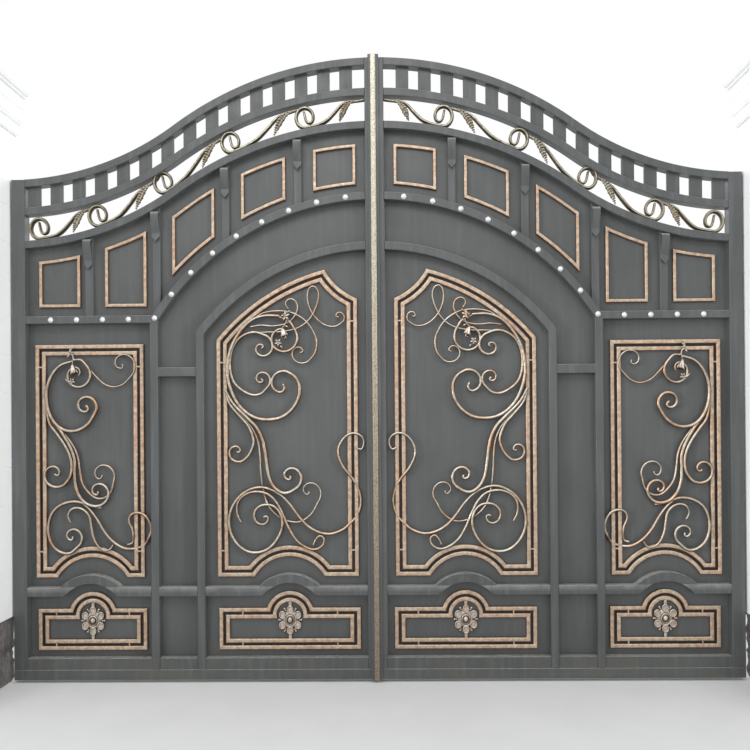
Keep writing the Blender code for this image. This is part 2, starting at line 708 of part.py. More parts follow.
def bumped_rail(leaf, name, low, high, middle):
    """A level rail with a half-round hump over the rosette."""
    thick = LOWER_RAIL_TOP - LOWER_RAIL_BOTTOM
    radius = (LOWER_BUMP_HALF**2 + LOWER_BUMP_RISE**2) / (2 * LOWER_BUMP_RISE)
    centre = (middle, LOWER_RAIL_TOP + LOWER_BUMP_RISE - radius)
    outline = [(low, LOWER_RAIL_BOTTOM)]
    inner = radius - thick
    spread = math.acos((LOWER_RAIL_BOTTOM - centre[1]) / inner)
    outline += arc(centre, inner, math.pi / 2 + spread, math.pi / 2 - spread, 8)
    outline += [(high, LOWER_RAIL_BOTTOM), (high, LOWER_RAIL_TOP)]
    spread = math.acos((LOWER_RAIL_TOP - centre[1]) / radius)
    outline += arc(centre, radius, math.pi / 2 - spread, math.pi / 2 + spread, 8)
    outline.append((low, LOWER_RAIL_TOP))
    leaf.add(name, [plate(outline, FRONT, INNER_BACK)], "frame_paint")


def sheet(leaf):
    outline = [(CURVE_FROM, KICK_TOP + SEAT_GAP), (CURVE_TO, KICK_TOP + SEAT_GAP)]
    outline += CREST_LINE.line(CURVE_TO, CURVE_FROM, RAIL_WIDTH + SEAT_GAP)
    leaf.add("sheet", [plate(outline, SHEET_FRONT, SHEET_FRONT + SHEET_THICKNESS)], "sheet_paint")


# Trim frames.


def top_trim_spans():
    """Where the small frames between the dividers start and end."""
    edges = [MEETING_INNER]
    for middle in DIVIDERS_AT:
        edges += [middle - BAR_WIDTH / 2, middle + BAR_WIDTH / 2]
    edges.append(STILE_INNER)
    spans = []
    for index in range(len(DIVIDERS_AT) + 1):
        low_margin = TOP_TRIM_INNER_MARGIN - index * TOP_TRIM_MARGIN_FALL
        spans.append((edges[2 * index] + low_margin, edges[2 * index + 1] - TOP_TRIM_OUTER_MARGIN))
    return spans


def top_trims(leaf):
    """The small frames between the dividers, cut to the run of the rails."""
    for index, (low, high) in enumerate(top_trim_spans(), start=1):
        corners = []
        for u in (low, high):
            margin = TOP_TRIM_LOW_MARGIN / math.cos(riveted_slope(u))
            corners.append((u, riveted_height(u) + margin))
        for u in (high, low):
            margin = TOP_TRIM_TOP_MARGIN / math.cos(crest_slope(u))
            corners.append((u, CREST_LINE.height(u, RAIL_WIDTH) - margin))
        ring = frame_ring(corners, inset(corners, TOP_TRIM_BAR), TRIM_FRONT, TRIM_BACK)
        leaf.add(f"top_trim_{index}", [ring], "copper_patina")


def double_ring(outline_at, studs):
    """Two frames, one inside the other, tied by studs.

    outline_at gives the outline that lies inside the outer edge by a distance. Studs are
    ((u, z), along_u) pairs.
    """
    inner = TRIM_BAR + TRIM_GAP
    solids = []
    for edge in (0.0, inner):
        solids.append(frame_ring(outline_at(edge), outline_at(edge + TRIM_BAR), TRIM_FRONT, TRIM_BACK))
    reach = TRIM_GAP / 2 + 0.004
    for (u, z), along_u in studs:
        half_u, half_z = (reach, STUD_HALF) if along_u else (STUD_HALF, reach)
        stud = block(u - half_u, u + half_u, TRIM_FRONT + 0.001, TRIM_BACK - 0.001, z - half_z, z + half_z)
        solids.append(stud)
    return solids


# How far a stud's middle lies inside the outer frame's edge.
STUD_LINE = TRIM_BAR + TRIM_GAP / 2


def panel_foot(panel, centre, inside):
    """The bottom edge of a panel frame, from low u to high u, arched up in its middle."""
    low, high, bottom, _ = panel
    level = bottom + inside
    radius = segment_radius(PANEL_ARCH_HALF, PANEL_ARCH_RISE)
    middle = (centre, bottom + PANEL_ARCH_RISE - radius)
    reach = math.sqrt((radius + inside) ** 2 - (level - middle[1]) ** 2)
    arch = arc_between(middle, (centre - reach, level), (centre + reach, level), 10)
    return [(low + inside, level)] + arch + [(high - inside, level)]


def side_outline(inside):
    low, high, _, top = SIDE_PANEL
    foot = panel_foot(SIDE_PANEL, SIDE_CENTRE, inside)
    return foot + [(high - inside, top - inside), (low + inside, top - inside)]


def side_trim(leaf):
    low, high, bottom, top = SIDE_PANEL
    heights = (bottom + STUD_FROM_FOOT, top - STUD_FROM_HEAD)
    studs = [((u, z), True) for u in (low + STUD_LINE, high - STUD_LINE) for z in heights]
    leaf.add("side_trim", double_ring(side_outline, studs), "copper_patina")


def door_outline(inside):
    """The door panel's frame: its head follows the door arch, then falls in a hollow to the shoulder."""
    low, high, _, shoulder = DOOR_PANEL
    head = (0.0, ARCH_MIDDLE)
    hollow, hollow_radius = bow_circle((DOOR_PANEL_APEX_AT, DOOR_PANEL_APEX), (low, shoulder), PANEL_HOLLOW)
    head_radius = DOOR_PANEL_RADIUS - inside
    hollow_radius += inside
    side = high - inside
    spring = (side, ARCH_MIDDLE + math.sqrt(head_radius**2 - side**2))
    apex = crossing(head, head_radius, hollow, hollow_radius)
    edge = low + inside
    end = (edge, hollow.y - math.sqrt(hollow_radius**2 - (edge - hollow.x) ** 2))
    outline = panel_foot(DOOR_PANEL, DOOR_CENTRE, inside)
    outline += arc_between(head, spring, apex, 12)
    return outline + arc_between(hollow, apex, end, 6)[1:]


def door_trim(leaf):
    low, high, bottom, shoulder = DOOR_PANEL
    studs = []
    for u, head in ((low + STUD_LINE, shoulder), (high - STUD_LINE, DOOR_PANEL_SPRING)):
        studs += [((u, bottom + STUD_FROM_FOOT), True), ((u, head - STUD_FROM_HEAD), True)]
    leaf.add("door_trim", double_ring(door_outline, studs), "copper_patina")


def rosette(centre):
    """A six-petalled flower with a stub above and below."""
    u, z = centre
    rings = []
    for share, y in ((1.0, TRIM_BACK), (1.0, TRIM_BACK - 0.012), (0.45, TRIM_BACK - ROSETTE_DEPTH)):
        ring = []
        for step in range(36):
            angle = 2 * math.pi * step / 36
            reach = ROSETTE_RADIUS * share * (0.80 + 0.20 * abs(math.cos(3 * (angle - math.pi / 2))))
            ring.append((u + reach * math.cos(angle), y, z + ROSETTE_STRETCH * reach * math.sin(angle)))
        rings.append(ring)
    return loft(rings)


def rosette_trim(leaf, name, panel, centre):
    low, high, bottom, top = panel
    radius = segment_radius(ROSETTE_ARCH_HALF, ROSETTE_ARCH_RISE)
    middle = (centre, top + ROSETTE_ARCH_RISE - radius)

    def outline(inside):
        level = top - inside
        spring = math.asin((level - middle[1]) / (radius - inside))
        arch = arc(middle, radius - inside, spring, math.pi - spring, 10)
        box = [(low + inside, bottom + inside), (high - inside, bottom + inside), (high - inside, level)]
        return box + arch + [(low + inside, level)]

    sixth = (high - low) / 6
    heights = (bottom + STUD_LINE, top - STUD_LINE)
    studs = [((u, z), False) for u in (low + sixth, high - sixth) for z in heights]
    solids = double_ring(outline, studs)
    solids.append(rosette((centre, ROSETTE_AT)))
    lowest = bottom + RINGS_WIDTH - 0.006
    highest = top + ROSETTE_ARCH_RISE - RINGS_WIDTH + 0.006
    solids.append(block(centre - 0.004, centre + 0.004, TRIM_FRONT + 0.002, TRIM_BACK - 0.002, lowest, highest))
    leaf.add(name, solids, "copper_patina")


# Scrollwork. Each scroll is (guide points, tail curl, head curl), a curl being (middle, sweep, end
# radius). The points are drawn in a panel with the edges (low u, high u, bottom, top) given first,
# and bars that are forged together share a point.

SIDE_DRAWING = (1.237, 1.820, 0.549, 1.792)
SIDE_SCROLLS = (
    (
        ((1.620, 1.702), (1.726, 1.624), (1.751, 1.478), (1.693, 1.357), (1.584, 1.335), (1.495, 1.424)),
        ((1.545, 1.462), -300, 0.030),
        None,
    ),
    (((1.620, 1.702), (1.572, 1.710), (1.535, 1.673)), ((1.587, 1.625), 275, 0.050), None),
    (
        ((1.535, 1.673), (1.485, 1.615), (1.393, 1.564), (1.306, 1.618)),
        ((1.352, 1.683), -300, 0.022),
        None,
    ),
    (
        ((1.751, 1.478), (1.705, 1.325), (1.634, 1.209), (1.628, 1.093), (1.659, 1.047)),
        ((1.705, 1.090), 300, 0.020),
        None,
    ),
    (
        ((1.751, 1.478), (1.668, 1.317), (1.605, 1.176), (1.601, 1.043), (1.543, 0.944), (1.501, 0.930)),
        ((1.485, 1.005), -330, 0.018),
        None,
    ),
    (
        (
            (1.470, 0.922),
            (1.501, 0.930),
            (1.559, 0.946),
            (1.668, 0.944),
            (1.747, 0.830),
            (1.684, 0.688),
            (1.593, 0.714),
        ),
        ((1.622, 0.768), -290, 0.020),
        None,
    ),
    (
        ((1.630, 0.845), (1.630, 0.910), (1.559, 0.946), (1.530, 0.885), (1.510, 0.770), (1.451, 0.696), (1.407, 0.721)),
        None,
        None,
    ),
    (
        (
            (1.559, 0.946),
            (1.526, 0.911),
            (1.443, 0.787),
            (1.335, 0.704),
            (1.231, 0.732),
            (1.206, 0.841),
            (1.276, 0.895),
            (1.318, 0.847),
            (1.297, 0.764),
            (1.326, 0.726),
        ),
        None,
        None,
    ),
)
SIDE_COLLARS = ((1.535, 1.673), (1.501, 0.930), (1.751, 1.478))

DOOR_DRAWING = (0.0965, 0.850, 0.549, 2.024)
DOOR_SCROLLS = (
    (
        (
            (0.514, 1.933),
            (0.647, 1.917),
            (0.751, 1.800),
            (0.779, 1.700),
            (0.788, 1.643),
            (0.745, 1.488),
            (0.641, 1.394),
            (0.502, 1.396),
            (0.410, 1.504),
            (0.476, 1.639),
        ),
        ((0.495, 1.575), -200, 0.040),
        None,
    ),
    (
        (
            (0.595, 1.834),
            (0.681, 1.841),
            (0.759, 1.765),
            (0.779, 1.700),
            (0.771, 1.638),
            (0.710, 1.540),
            (0.612, 1.521),
            (0.577, 1.554),
        ),
        ((0.608, 1.597), -330, 0.015),
        ((0.605, 1.765), 330, 0.018),
    ),
    (((0.514, 1.933), (0.456, 1.902), (0.430, 1.862)), ((0.492, 1.812), 285, 0.055), None),
    (
        ((0.647, 1.917), (0.554, 1.958), (0.433, 1.946), (0.335, 1.857), (0.323, 1.736), (0.358, 1.692)),
        ((0.402, 1.740), 255, 0.020),
        None,
    ),
    (
        ((0.430, 1.862), (0.335, 1.938), (0.303, 2.060), (0.352, 2.077), (0.346, 1.967), (0.265, 1.882), (0.173, 1.900)),
        ((0.198, 1.928), -215, 0.012),
        None,
    ),
    (
        ((0.788, 1.643), (0.777, 1.468), (0.681, 1.354), (0.652, 1.256), (0.710, 1.165)),
        ((0.740, 1.215), 260, 0.020),
        None,
    ),
    (
        ((0.788, 1.643), (0.757, 1.468), (0.635, 1.343), (0.592, 1.222), (0.572, 1.084), (0.508, 0.998), (0.421, 1.022)),
        ((0.460, 1.080), -290, 0.018),
        None,
    ),
    (
        (
            (0.508, 0.998),
            (0.583, 1.020),
            (0.647, 1.016),
            (0.733, 0.972),
            (0.785, 0.844),
            (0.739, 0.723),
            (0.624, 0.681),
            (0.520, 0.767),
            (0.514, 0.888),
            (0.589, 0.933),
        ),
        ((0.600, 0.865), -250, 0.025),
        None,
    ),
    (
        (
            (0.722, 0.842),
            (0.739, 0.943),
            (0.647, 1.016),
            (0.537, 0.955),
            (0.473, 0.819),
            (0.381, 0.708),
            (0.288, 0.718),
            (0.306, 0.767),
            (0.338, 0.720),
        ),
        None,
        None,
    ),
    (
        (
            (0.583, 1.020),
            (0.462, 0.935),
            (0.369, 0.821),
            (0.248, 0.776),
            (0.115, 0.859),
            (0.086, 0.963),
            (0.132, 1.072),
            (0.202, 1.187),
            (0.167, 1.289),
            (0.080, 1.293),
            (0.080, 1.223),
        ),
        None,
        None,
    ),
)
DOOR_COLLARS = ((0.430, 1.862), (0.508, 0.998), (0.788, 1.643), (0.647, 1.917))


def fitted(point, drawing, panel):
    """A drawn point, moved and stretched with the panel."""
    across = (point[0] - drawing[0]) / (drawing[1] - drawing[0])
    up = (point[1] - drawing[2]) / (drawing[3] - drawing[2])
    return panel[0] + across * (panel[1] - panel[0]), panel[2] + up * (panel[3] - panel[2])


def panel_scrolls(leaf, name, scrolls, collars, drawing, panel):
    def fit(point):
        return fitted(point, drawing, panel)

    def fit_curl(spiral):
        return (fit(spiral[0]), *spiral[1:]) if spiral else None

    solids = []
    for guides, tail, head in scrolls:
        path = scroll([fit(point) for point in guides], fit_curl(tail), fit_curl(head))
        solids.append(round_bar(path, SCROLL_Y, SCROLL_RADIUS, SCROLL_TIP_RADIUS))
    solids += [collar(*fit(point)) for point in collars]
    leaf.add(name, solids, "bronze_patina")


def collar(u, z):
    """A band round bars that lie side by side."""
    front = SCROLL_Y - SCROLL_RADIUS - COLLAR_WALL
    back = SCROLL_Y + SCROLL_RADIUS
    return block(u - COLLAR_HALF, u + COLLAR_HALF, front, back, z - COLLAR_HALF / 2, z + COLLAR_HALF / 2)


def crest_scrolls(leaf):
    """Running scrolls between the crest rail and the picket rail, each tied to the one before."""
    solids = []
    radius = CREST_BAR_RADIUS
    start = (MEETING_INNER + 0.010, crest_lift(MEETING_INNER + 0.010, 0.85))
    for u in CREST_CURLS_AT:
        lean = crest_slope(u)
        height = CREST_LINE.height(u, -CREST_CURL_RADIUS - radius - 2 * SEAT_GAP)
        sole = (u - CREST_CURL_RADIUS * math.sin(lean), height - CREST_CURL_RADIUS * math.cos(lean))
        reach = u - start[0]
        guides = [start]
        for share, lift in ((0.30, 0.72), (0.60, 0.30)):
            guides.append((start[0] + share * reach, crest_lift(start[0] + share * reach, lift)))
        turns = curl(sole, (u, height), 340, CREST_CURL_END * CREST_CURL_RADIUS, 12)
        solids.append(round_bar(smooth([*guides, sole], 3) + turns, 0.0, radius, radius * 0.7, 0.0))
        start = turns[4]
    leaf.add("crest_scrolls", solids, "bronze_patina")


def crest_lift(u, share):
    """A height in the band between the crest rail and the picket rail."""
    low = CREST_LINE.height(u) + CREST_BAR_RADIUS
    high = PICKET_LINE.height(u, RAIL_WIDTH) - CREST_BAR_RADIUS
    return low + (high - low) * share


# The cover strip, the hinges and the piers.


STRIP_SEAT = FRONT - SEAT_GAP
STRIP_FACE = STRIP_SEAT - STRIP_CLEARANCE - STRIP_THICKNESS
STRIP_TOP = TOP_CENTRE + STRIP_ABOVE_STILE


def cover_strip(leaf):
    """A stepped flat on the left leaf's meeting stile that laps the other leaf."""
    edge = STRIP_OVER_LEFT
    packer = block(MEETING_OUTER + 0.002, edge, STRIP_FACE + 0.001, STRIP_SEAT, LEAF_BOTTOM, STRIP_TOP)
    flat = block(-STRIP_OVER_RIGHT, edge, STRIP_FACE, STRIP_FACE + STRIP_THICKNESS, LEAF_BOTTOM, STRIP_TOP)
    leaf.add("cover_strip", [packer, flat], "frame_paint")


def cover_bar(leaf):
    """The raised bar along the middle of the cover strip."""
    low = -STRIP_BAR_OVER_RIGHT
    high = STRIP_BAR_OVER_LEFT
    foot = STRIP_FACE - SEAT_GAP
    shoulder = STRIP_FACE - STRIP_BAR_DEPTH / 3
    crown = STRIP_FACE - STRIP_BAR_DEPTH
    fifth = (high - low) / 5
    profile = [(low, foot), (high, foot), (high, shoulder)]
    profile += [(high - fifth, crown), (low + fifth, crown), (low, shoulder)]
    bar = loft([[(u, y, z) for u, y in profile] for z in (LEAF_BOTTOM + 0.002, STRIP_TOP - 0.002)])
    leaf.add("cover_bar", [bar], "strip_gold")


def hinge_post(title, side):
    """A flat on the pier's back with the arms and pins that carry one leaf."""
    wall = PIER_BEHIND_GATE + SEAT_GAP
    face = wall + HINGE_PLATE
    edge = HALF_CLEAR + 0.004
    low = HINGE_HEIGHTS[0] - 0.12
    high = HINGE_HEIGHTS[-1] + 0.12
    solids = [block(edge, edge + 0.09, wall, face, low, high)]
    for height in HINGE_HEIGHTS:
        top = height - 0.0004
        solids.append(block(HINGE_AT - 0.012, edge + 0.02, wall + 0.001, HINGE_Y + 0.012, top - 0.014, top))
        solids.append(upright(HINGE_AT, HINGE_Y, PIN_RADIUS, top - 0.008, top + KNUCKLE_LENGTH + 0.006))
    obj = node(f"{title}_hinge_post", solids, "frame_paint", side)
    obj.location = (GATE_X, GATE_Y, 0.0)
    return obj


def square_stack(profile, half):
    """A pier piece whose sides follow (reach, height) steps from the half size outward."""
    rings = []
    for reach, z in profile:
        size = half + reach
        rings.append([(-size, -size, z), (size, -size, z), (size, size, z), (-size, size, z)])
    return loft(rings)


def cornice_profile():
    """Fillets, cove, half round, fascia and crown, from the shaft up to the cap."""
    low = SHAFT_TOP + SEAT_GAP
    rise = CORNICE_HEIGHT - SEAT_GAP
    shares = [(0.10, 0.0), (0.10, 0.03), (0.18, 0.03), (0.18, 0.07)]
    for step in range(1, 5):
        turn = math.pi / 2 * step / 5
        shares.append((0.18 + 0.18 * (1 - math.cos(turn)), 0.07 + 0.18 * math.sin(turn)))
    shares += [(0.40, 0.26), (0.40, 0.29)]
    for step in range(1, 6):
        turn = math.pi * step / 6
        shares.append((0.38 + 0.16 * math.sin(turn), 0.435 - 0.145 * math.cos(turn)))
    shares += [(0.46, 0.58), (0.54, 0.61), (0.54, 0.83), (0.72, 0.83), (0.72, 0.87)]
    shares += [(0.80, 0.92), (0.96, 0.95), (1.0, 0.96), (1.0, 1.0)]
    steps = [(0.0, low)] + [(CORNICE_REACH * reach, low + rise * share) for reach, share in shares]
    return steps + [(0.25 * CORNICE_REACH, low + rise + CAP_HEIGHT)]


def pier(title, x):
    half = PIER_SIZE / 2
    foot = empty(f"{title}_pier_base", (x, 0.0, 0.0))
    plinth = square_stack([(-PLINTH_INSET, 0.0), (-PLINTH_INSET, PLINTH_HEIGHT)], half)
    shaft = square_stack([(0.0, PLINTH_HEIGHT + SEAT_GAP), (0.0, SHAFT_TOP)], half)
    cornice = square_stack(cornice_profile(), half)
    pieces = (("pier_plinth", plinth, "plinth_stone"), ("pier_shaft", shaft, "pier_stucco"))
    for name, solid, slot in (*pieces, ("pier_cornice", cornice, "pier_stucco")):
        obj = node(f"{title}_{name}", [solid], slot)
        obj.parent = foot


def build_leaf(title, side):
    leaf = Leaf(title, side)
    outer_stile(leaf)
    meeting_stile(leaf)
    bottom_rail(leaf)
    curved_rails(leaf)
    riveted_rail(leaf)
    mullion(leaf)
    door_arch(leaf)
    door_bay, _, side_bay = bays()
    bumped_rail(leaf, "side_lower_rail", *side_bay, SIDE_CENTRE)
    bumped_rail(leaf, "door_lower_rail", *door_bay, DOOR_CENTRE)
    sheet(leaf)
    top_trims(leaf)
    side_trim(leaf)
    door_trim(leaf)
    rosette_trim(leaf, "side_rosette_trim", ROSETTE_SIDE, SIDE_CENTRE)
    rosette_trim(leaf, "door_rosette_trim", ROSETTE_DOOR, DOOR_CENTRE)
    panel_scrolls(leaf, "side_scrolls", SIDE_SCROLLS, SIDE_COLLARS, SIDE_DRAWING, SIDE_PANEL)
    panel_scrolls(leaf, "door_scrolls", DOOR_SCROLLS, DOOR_COLLARS, DOOR_DRAWING, DOOR_PANEL)
    crest_scrolls(leaf)
    return leaf


def main():
    clear_scene()
    for title, side in (("left", -1), ("right", 1)):
        pier(title, GATE_X + side * GATE_X)
        hinge_post(title, side)
        leaf = build_leaf(title, side)
        if side < 0:
            cover_strip(leaf)
            cover_bar(leaf)


main()
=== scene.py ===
"""Looks of the wrought iron driveway gate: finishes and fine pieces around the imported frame.

Metres, +Z up. A leaf's pieces are drawn in (u, y, z): u is the distance from the gate's middle
line, y the depth behind the leaf's middle plane and z the height. side is -1 for the left leaf
and +1 for the right one, and mirrors u.
"""

import math
from collections import namedtuple
from functools import partial

import bmesh
import bpy
from mathutils import Matrix, Vector, noise


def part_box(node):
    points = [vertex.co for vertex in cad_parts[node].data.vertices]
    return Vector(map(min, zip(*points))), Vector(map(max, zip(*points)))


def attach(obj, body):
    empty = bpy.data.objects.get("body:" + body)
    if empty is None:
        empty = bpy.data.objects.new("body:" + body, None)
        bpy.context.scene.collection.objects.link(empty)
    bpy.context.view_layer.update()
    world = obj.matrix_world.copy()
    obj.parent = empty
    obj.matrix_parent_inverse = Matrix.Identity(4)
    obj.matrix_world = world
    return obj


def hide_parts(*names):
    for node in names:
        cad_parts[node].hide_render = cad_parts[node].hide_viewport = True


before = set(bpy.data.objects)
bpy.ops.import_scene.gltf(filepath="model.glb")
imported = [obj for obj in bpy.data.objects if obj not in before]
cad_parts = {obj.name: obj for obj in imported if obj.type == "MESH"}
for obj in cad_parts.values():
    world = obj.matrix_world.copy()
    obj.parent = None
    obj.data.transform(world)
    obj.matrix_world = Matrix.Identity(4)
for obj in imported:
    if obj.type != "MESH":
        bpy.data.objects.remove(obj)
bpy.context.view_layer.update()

Span = namedtuple("Span", "u_low u_high y_low y_high z_low z_high")


def middle_of(*nodes):
    """The middle of the box round some CAD nodes."""
    corners = [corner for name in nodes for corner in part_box(name)]
    low, high = (Vector(list(map(pick, *corners))) for pick in (min, max))
    return (low + high) / 2


GATE_X = middle_of("left_pier_shaft", "right_pier_shaft").x
GATE_Y = middle_of("right_meeting_stile").y


def span(node):
    """The box of a node in gate coordinates, not mirrored."""
    low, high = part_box(node)
    return Span(low.x - GATE_X, high.x - GATE_X, low.y - GATE_Y, high.y - GATE_Y, low.z, high.z)


# The main members' places come from the frame.
OUTER = span("right_outer_stile")
MEETING = span("right_meeting_stile")
MULLION = span("right_mullion")
JAMB = span("right_door_arch")
BOTTOM = span("right_bottom_rail")
SIDE_RAIL = span("right_side_lower_rail")
DOOR_RAIL = span("right_door_lower_rail")
RIVETED = span("right_riveted_rail")
SIDE_PANEL = span("right_side_trim")
DOOR_PANEL = span("right_door_trim")
SIDE_BOX = span("right_side_rosette_trim")
DOOR_BOX = span("right_door_rosette_trim")

# Sizes of the members, as the CAD model has them.
TOP_OUTER = OUTER.z_high
TOP_CENTRE = MEETING.z_high
PICKET_DROPS = (0.15, 0.16)
CREST_DROPS = (0.325, 0.334)
OGEE_TURN = 0.5506 * OUTER.u_high
BAR_WIDTH = 0.042
RAIL_WIDTH = 0.040
STILE_WIDTH = 0.070
LOWER_RAIL_TOP = 0.5035
RIVETED_CENTRE_TOP = TOP_CENTRE - 0.7085
RIVETED_FLAT_TOP = RIVETED.z_low + RAIL_WIDTH
RIVETED_KINK = MULLION.u_high - 0.012
TRANSOM = (RIVETED_FLAT_TOP - 0.324, RIVETED_FLAT_TOP - 0.276)
ARCH_CENTRE_TOP = RIVETED_CENTRE_TOP - 0.2615
ARCH_RISE = 0.468
BUMP_HALF = 0.162
BUMP_RISE = 0.0675
PICKET_COUNT = 15
PICKET_WIDTH = 0.068
PICKET_PITCH = 0.1187
PICKET_HALF = 0.006
FIRST_PICKET_AT = 1.811
DIVIDERS_AT = [share * OUTER.u_high for share in (0.212, 0.412, 0.604, 0.791)]
DIVIDER_DEPTH = 0.025
CORBEL_DROP = 0.112
CORBEL_REACH = 0.034
CORBEL_TIP = 0.046
STRAP = 0.004

TOP_TRIM_COUNT = 5
TOP_TRIM_BAR = 0.018
TOP_TRIM_MARGINS = (0.050, 0.068)
TRIM_BAR = 0.023
TRIM_GAP = 0.013
PANEL_ARCH = (0.18485, 0.106844)
PANEL_APEX_AT = 0.270
PANEL_SHOULDER_DROP = 0.156
PANEL_HOLLOW = 0.021
PANEL_ARCH_MARGIN = 0.064
STUD_FROM_FOOT = 0.14
STUD_FROM_HEAD = 0.12
ROSETTE_ARCH = (0.1225, 0.089)
ROSETTE_STRETCH = 1.15


def segment_radius(half, rise):
    """The radius of the arc that rises by rise over a chord of twice half."""
    return (half * half + rise * rise) / (2 * rise)


# Derived places.
FRONT = MEETING.y_low
BACK = MEETING.y_high
INNER_BACK = MULLION.y_high
TRIM_FRONT = SIDE_PANEL.y_low
TRIM_BACK = SIDE_PANEL.y_high
SIDE_CENTRE = (SIDE_BOX.u_low + SIDE_BOX.u_high) / 2
DOOR_CENTRE = (DOOR_BOX.u_low + DOOR_BOX.u_high) / 2
ROSETTE_AT = (SIDE_BOX.z_low + SIDE_BOX.z_high) / 2
STILE_INNER = OUTER.u_high - STILE_WIDTH
MULLION_INNER = MULLION.u_high - BAR_WIDTH
JAMB_INNER = JAMB.u_high - BAR_WIDTH
RIVETED_RADIUS = segment_radius(RIVETED_KINK, RIVETED_CENTRE_TOP - RIVETED_FLAT_TOP)
RIVETED_MIDDLE = RIVETED_CENTRE_TOP - RIVETED_RADIUS
ARCH_RADIUS = segment_radius(JAMB.u_high, ARCH_RISE)
ARCH_MIDDLE = ARCH_CENTRE_TOP - ARCH_RADIUS
PANEL_RADIUS = ARCH_RADIUS - BAR_WIDTH - PANEL_ARCH_MARGIN
KICK_TOP = MEETING.z_low
STUD_LINE = TRIM_BAR + TRIM_GAP / 2

# Rounding of tube corners, and how finely curves are stepped.
EDGE = 0.0035
CURVE_STEPS = 90
HAMMER_STEP = 0.012
HAMMER_DEPTH = 0.0006
HAMMER_SCALE = 55.0
FORGE_STEP = 0.004


# Lines in (u, z).


def spaced(low, high, count):
    """Even values from low to high in count steps, both ends included."""
    return [low + (high - low) * step / count for step in range(count + 1)]


def circle(sides):
    """The angles of a full turn."""
    return spaced(0.0, 2 * math.pi, sides)[:-1]


def polar(middle, radius, angle, stretch=1.0):
    return middle[0] + radius * math.cos(angle), middle[1] + stretch * radius * math.sin(angle)


def arc(middle, radius, angle_from, angle_to, steps):
    return [polar(middle, radius, angle) for angle in spaced(angle_from, angle_to, steps)]


class Ogee:
    """Two arcs that meet in a turn: level at the gate's middle line and at the leaf's outer edge."""

    def __init__(self, outer_height, centre_height):
        self.angle = 2 * math.atan2(centre_height - outer_height, OUTER.u_high)
        self.convex = OGEE_TURN / math.sin(self.angle)
        self.concave = OUTER.u_high / math.sin(self.angle) - self.convex
        self.low_middle = centre_height - self.convex
        self.high_middle = outer_height + self.concave

    def height(self, u, below=0.0):
        """Height at u of the line that lies below the top edge by the given distance."""
        convex = self.convex - below
        if u <= convex * math.sin(self.angle):
            return self.low_middle + math.sqrt(convex * convex - u * u)
        concave = self.concave + below
        return self.high_middle - math.sqrt(concave * concave - (OUTER.u_high - u) ** 2)

    def slope(self, u, step=0.001):
        return math.atan2(self.height(u) - self.height(u + step), step)

    def line(self, u_from, u_to, below, steps=CURVE_STEPS):
        return [(u, self.height(u, below)) for u in spaced(u_from, u_to, steps)]


TOP_LINE = Ogee(TOP_OUTER, TOP_CENTRE)
PICKET_LINE = Ogee(TOP_OUTER - PICKET_DROPS[0], TOP_CENTRE - PICKET_DROPS[1])
CREST_LINE = Ogee(TOP_OUTER - CREST_DROPS[0], TOP_CENTRE - CREST_DROPS[1])


def riveted_kink(below=0.0):
    """Where the riveted rail's arc meets its level part."""
    rise = RIVETED_FLAT_TOP - below - RIVETED_MIDDLE
    return math.sqrt((RIVETED_RADIUS - below) ** 2 - rise * rise)


def riveted_height(u, below=0.0):
    if u >= riveted_kink(below):
        return RIVETED_FLAT_TOP - below
    return RIVETED_MIDDLE + math.sqrt((RIVETED_RADIUS - below) ** 2 - u * u)


def riveted_line(below, steps=60):
    """Points from the meeting stile, through the kink, to the outer stile."""
    places = spaced(MEETING.u_high, riveted_kink(below), steps)
    return [(u, riveted_height(u, below)) for u in places] + [(STILE_INNER, RIVETED_FLAT_TOP - below)]


def bow_circle(start, end, rise):
    """Middle and radius of the arc from start to end that rises to the left of the way."""
    start, end = Vector(start), Vector(end)
    way = (end - start).normalized()
    radius = segment_radius((end - start).length / 2, rise)
    return (start + end) / 2 + Vector((-way.y, way.x)) * (rise - radius), radius


def arc_between(middle, start, end, steps):
    """Points along the shorter arc round middle from start to end."""
    reach = Vector(start) - Vector(middle)
    other = Vector(end) - Vector(middle)
    angle = math.atan2(reach.y, reach.x)
    turn = math.remainder(math.atan2(other.y, other.x) - angle, 2 * math.pi)
    return arc(middle, reach.length, angle, angle + turn, steps)


def crossing(middle, radius, other_middle, other_radius):
    """Where two circles cross, at the place with the greater u."""
    gap = Vector(other_middle) - Vector(middle)
    along = (radius**2 - other_radius**2 + gap.length**2) / (2 * gap.length)
    across = math.sqrt(radius**2 - along**2)
    way = gap.normalized()
    foot = Vector(middle) + way * along
    return max(tuple(foot + Vector((-way.y, way.x)) * side * across) for side in (-1, 1))


def smooth(guides, steps=6):
    """A Catmull-Rom curve through the guide points."""
    points = []
    last = len(guides) - 1
    for index in range(last):
        p0, p1, p2, p3 = [Vector(guides[min(last, max(0, index + shift))]) for shift in (-1, 0, 1, 2)]
        for step in range(steps):
            t = step / steps
            bend = 2 * p1 + (p2 - p0) * t + (2 * p0 - 5 * p1 + 4 * p2 - p3) * t * t
            points.append((bend + (3 * p1 - p0 - 3 * p2 + p3) * t * t * t) / 2)
    return [*points, Vector(guides[last])]


SNUB_SHARE = 0.52
SNUB_TURN = math.radians(165)
SNUB_STEPS = 14


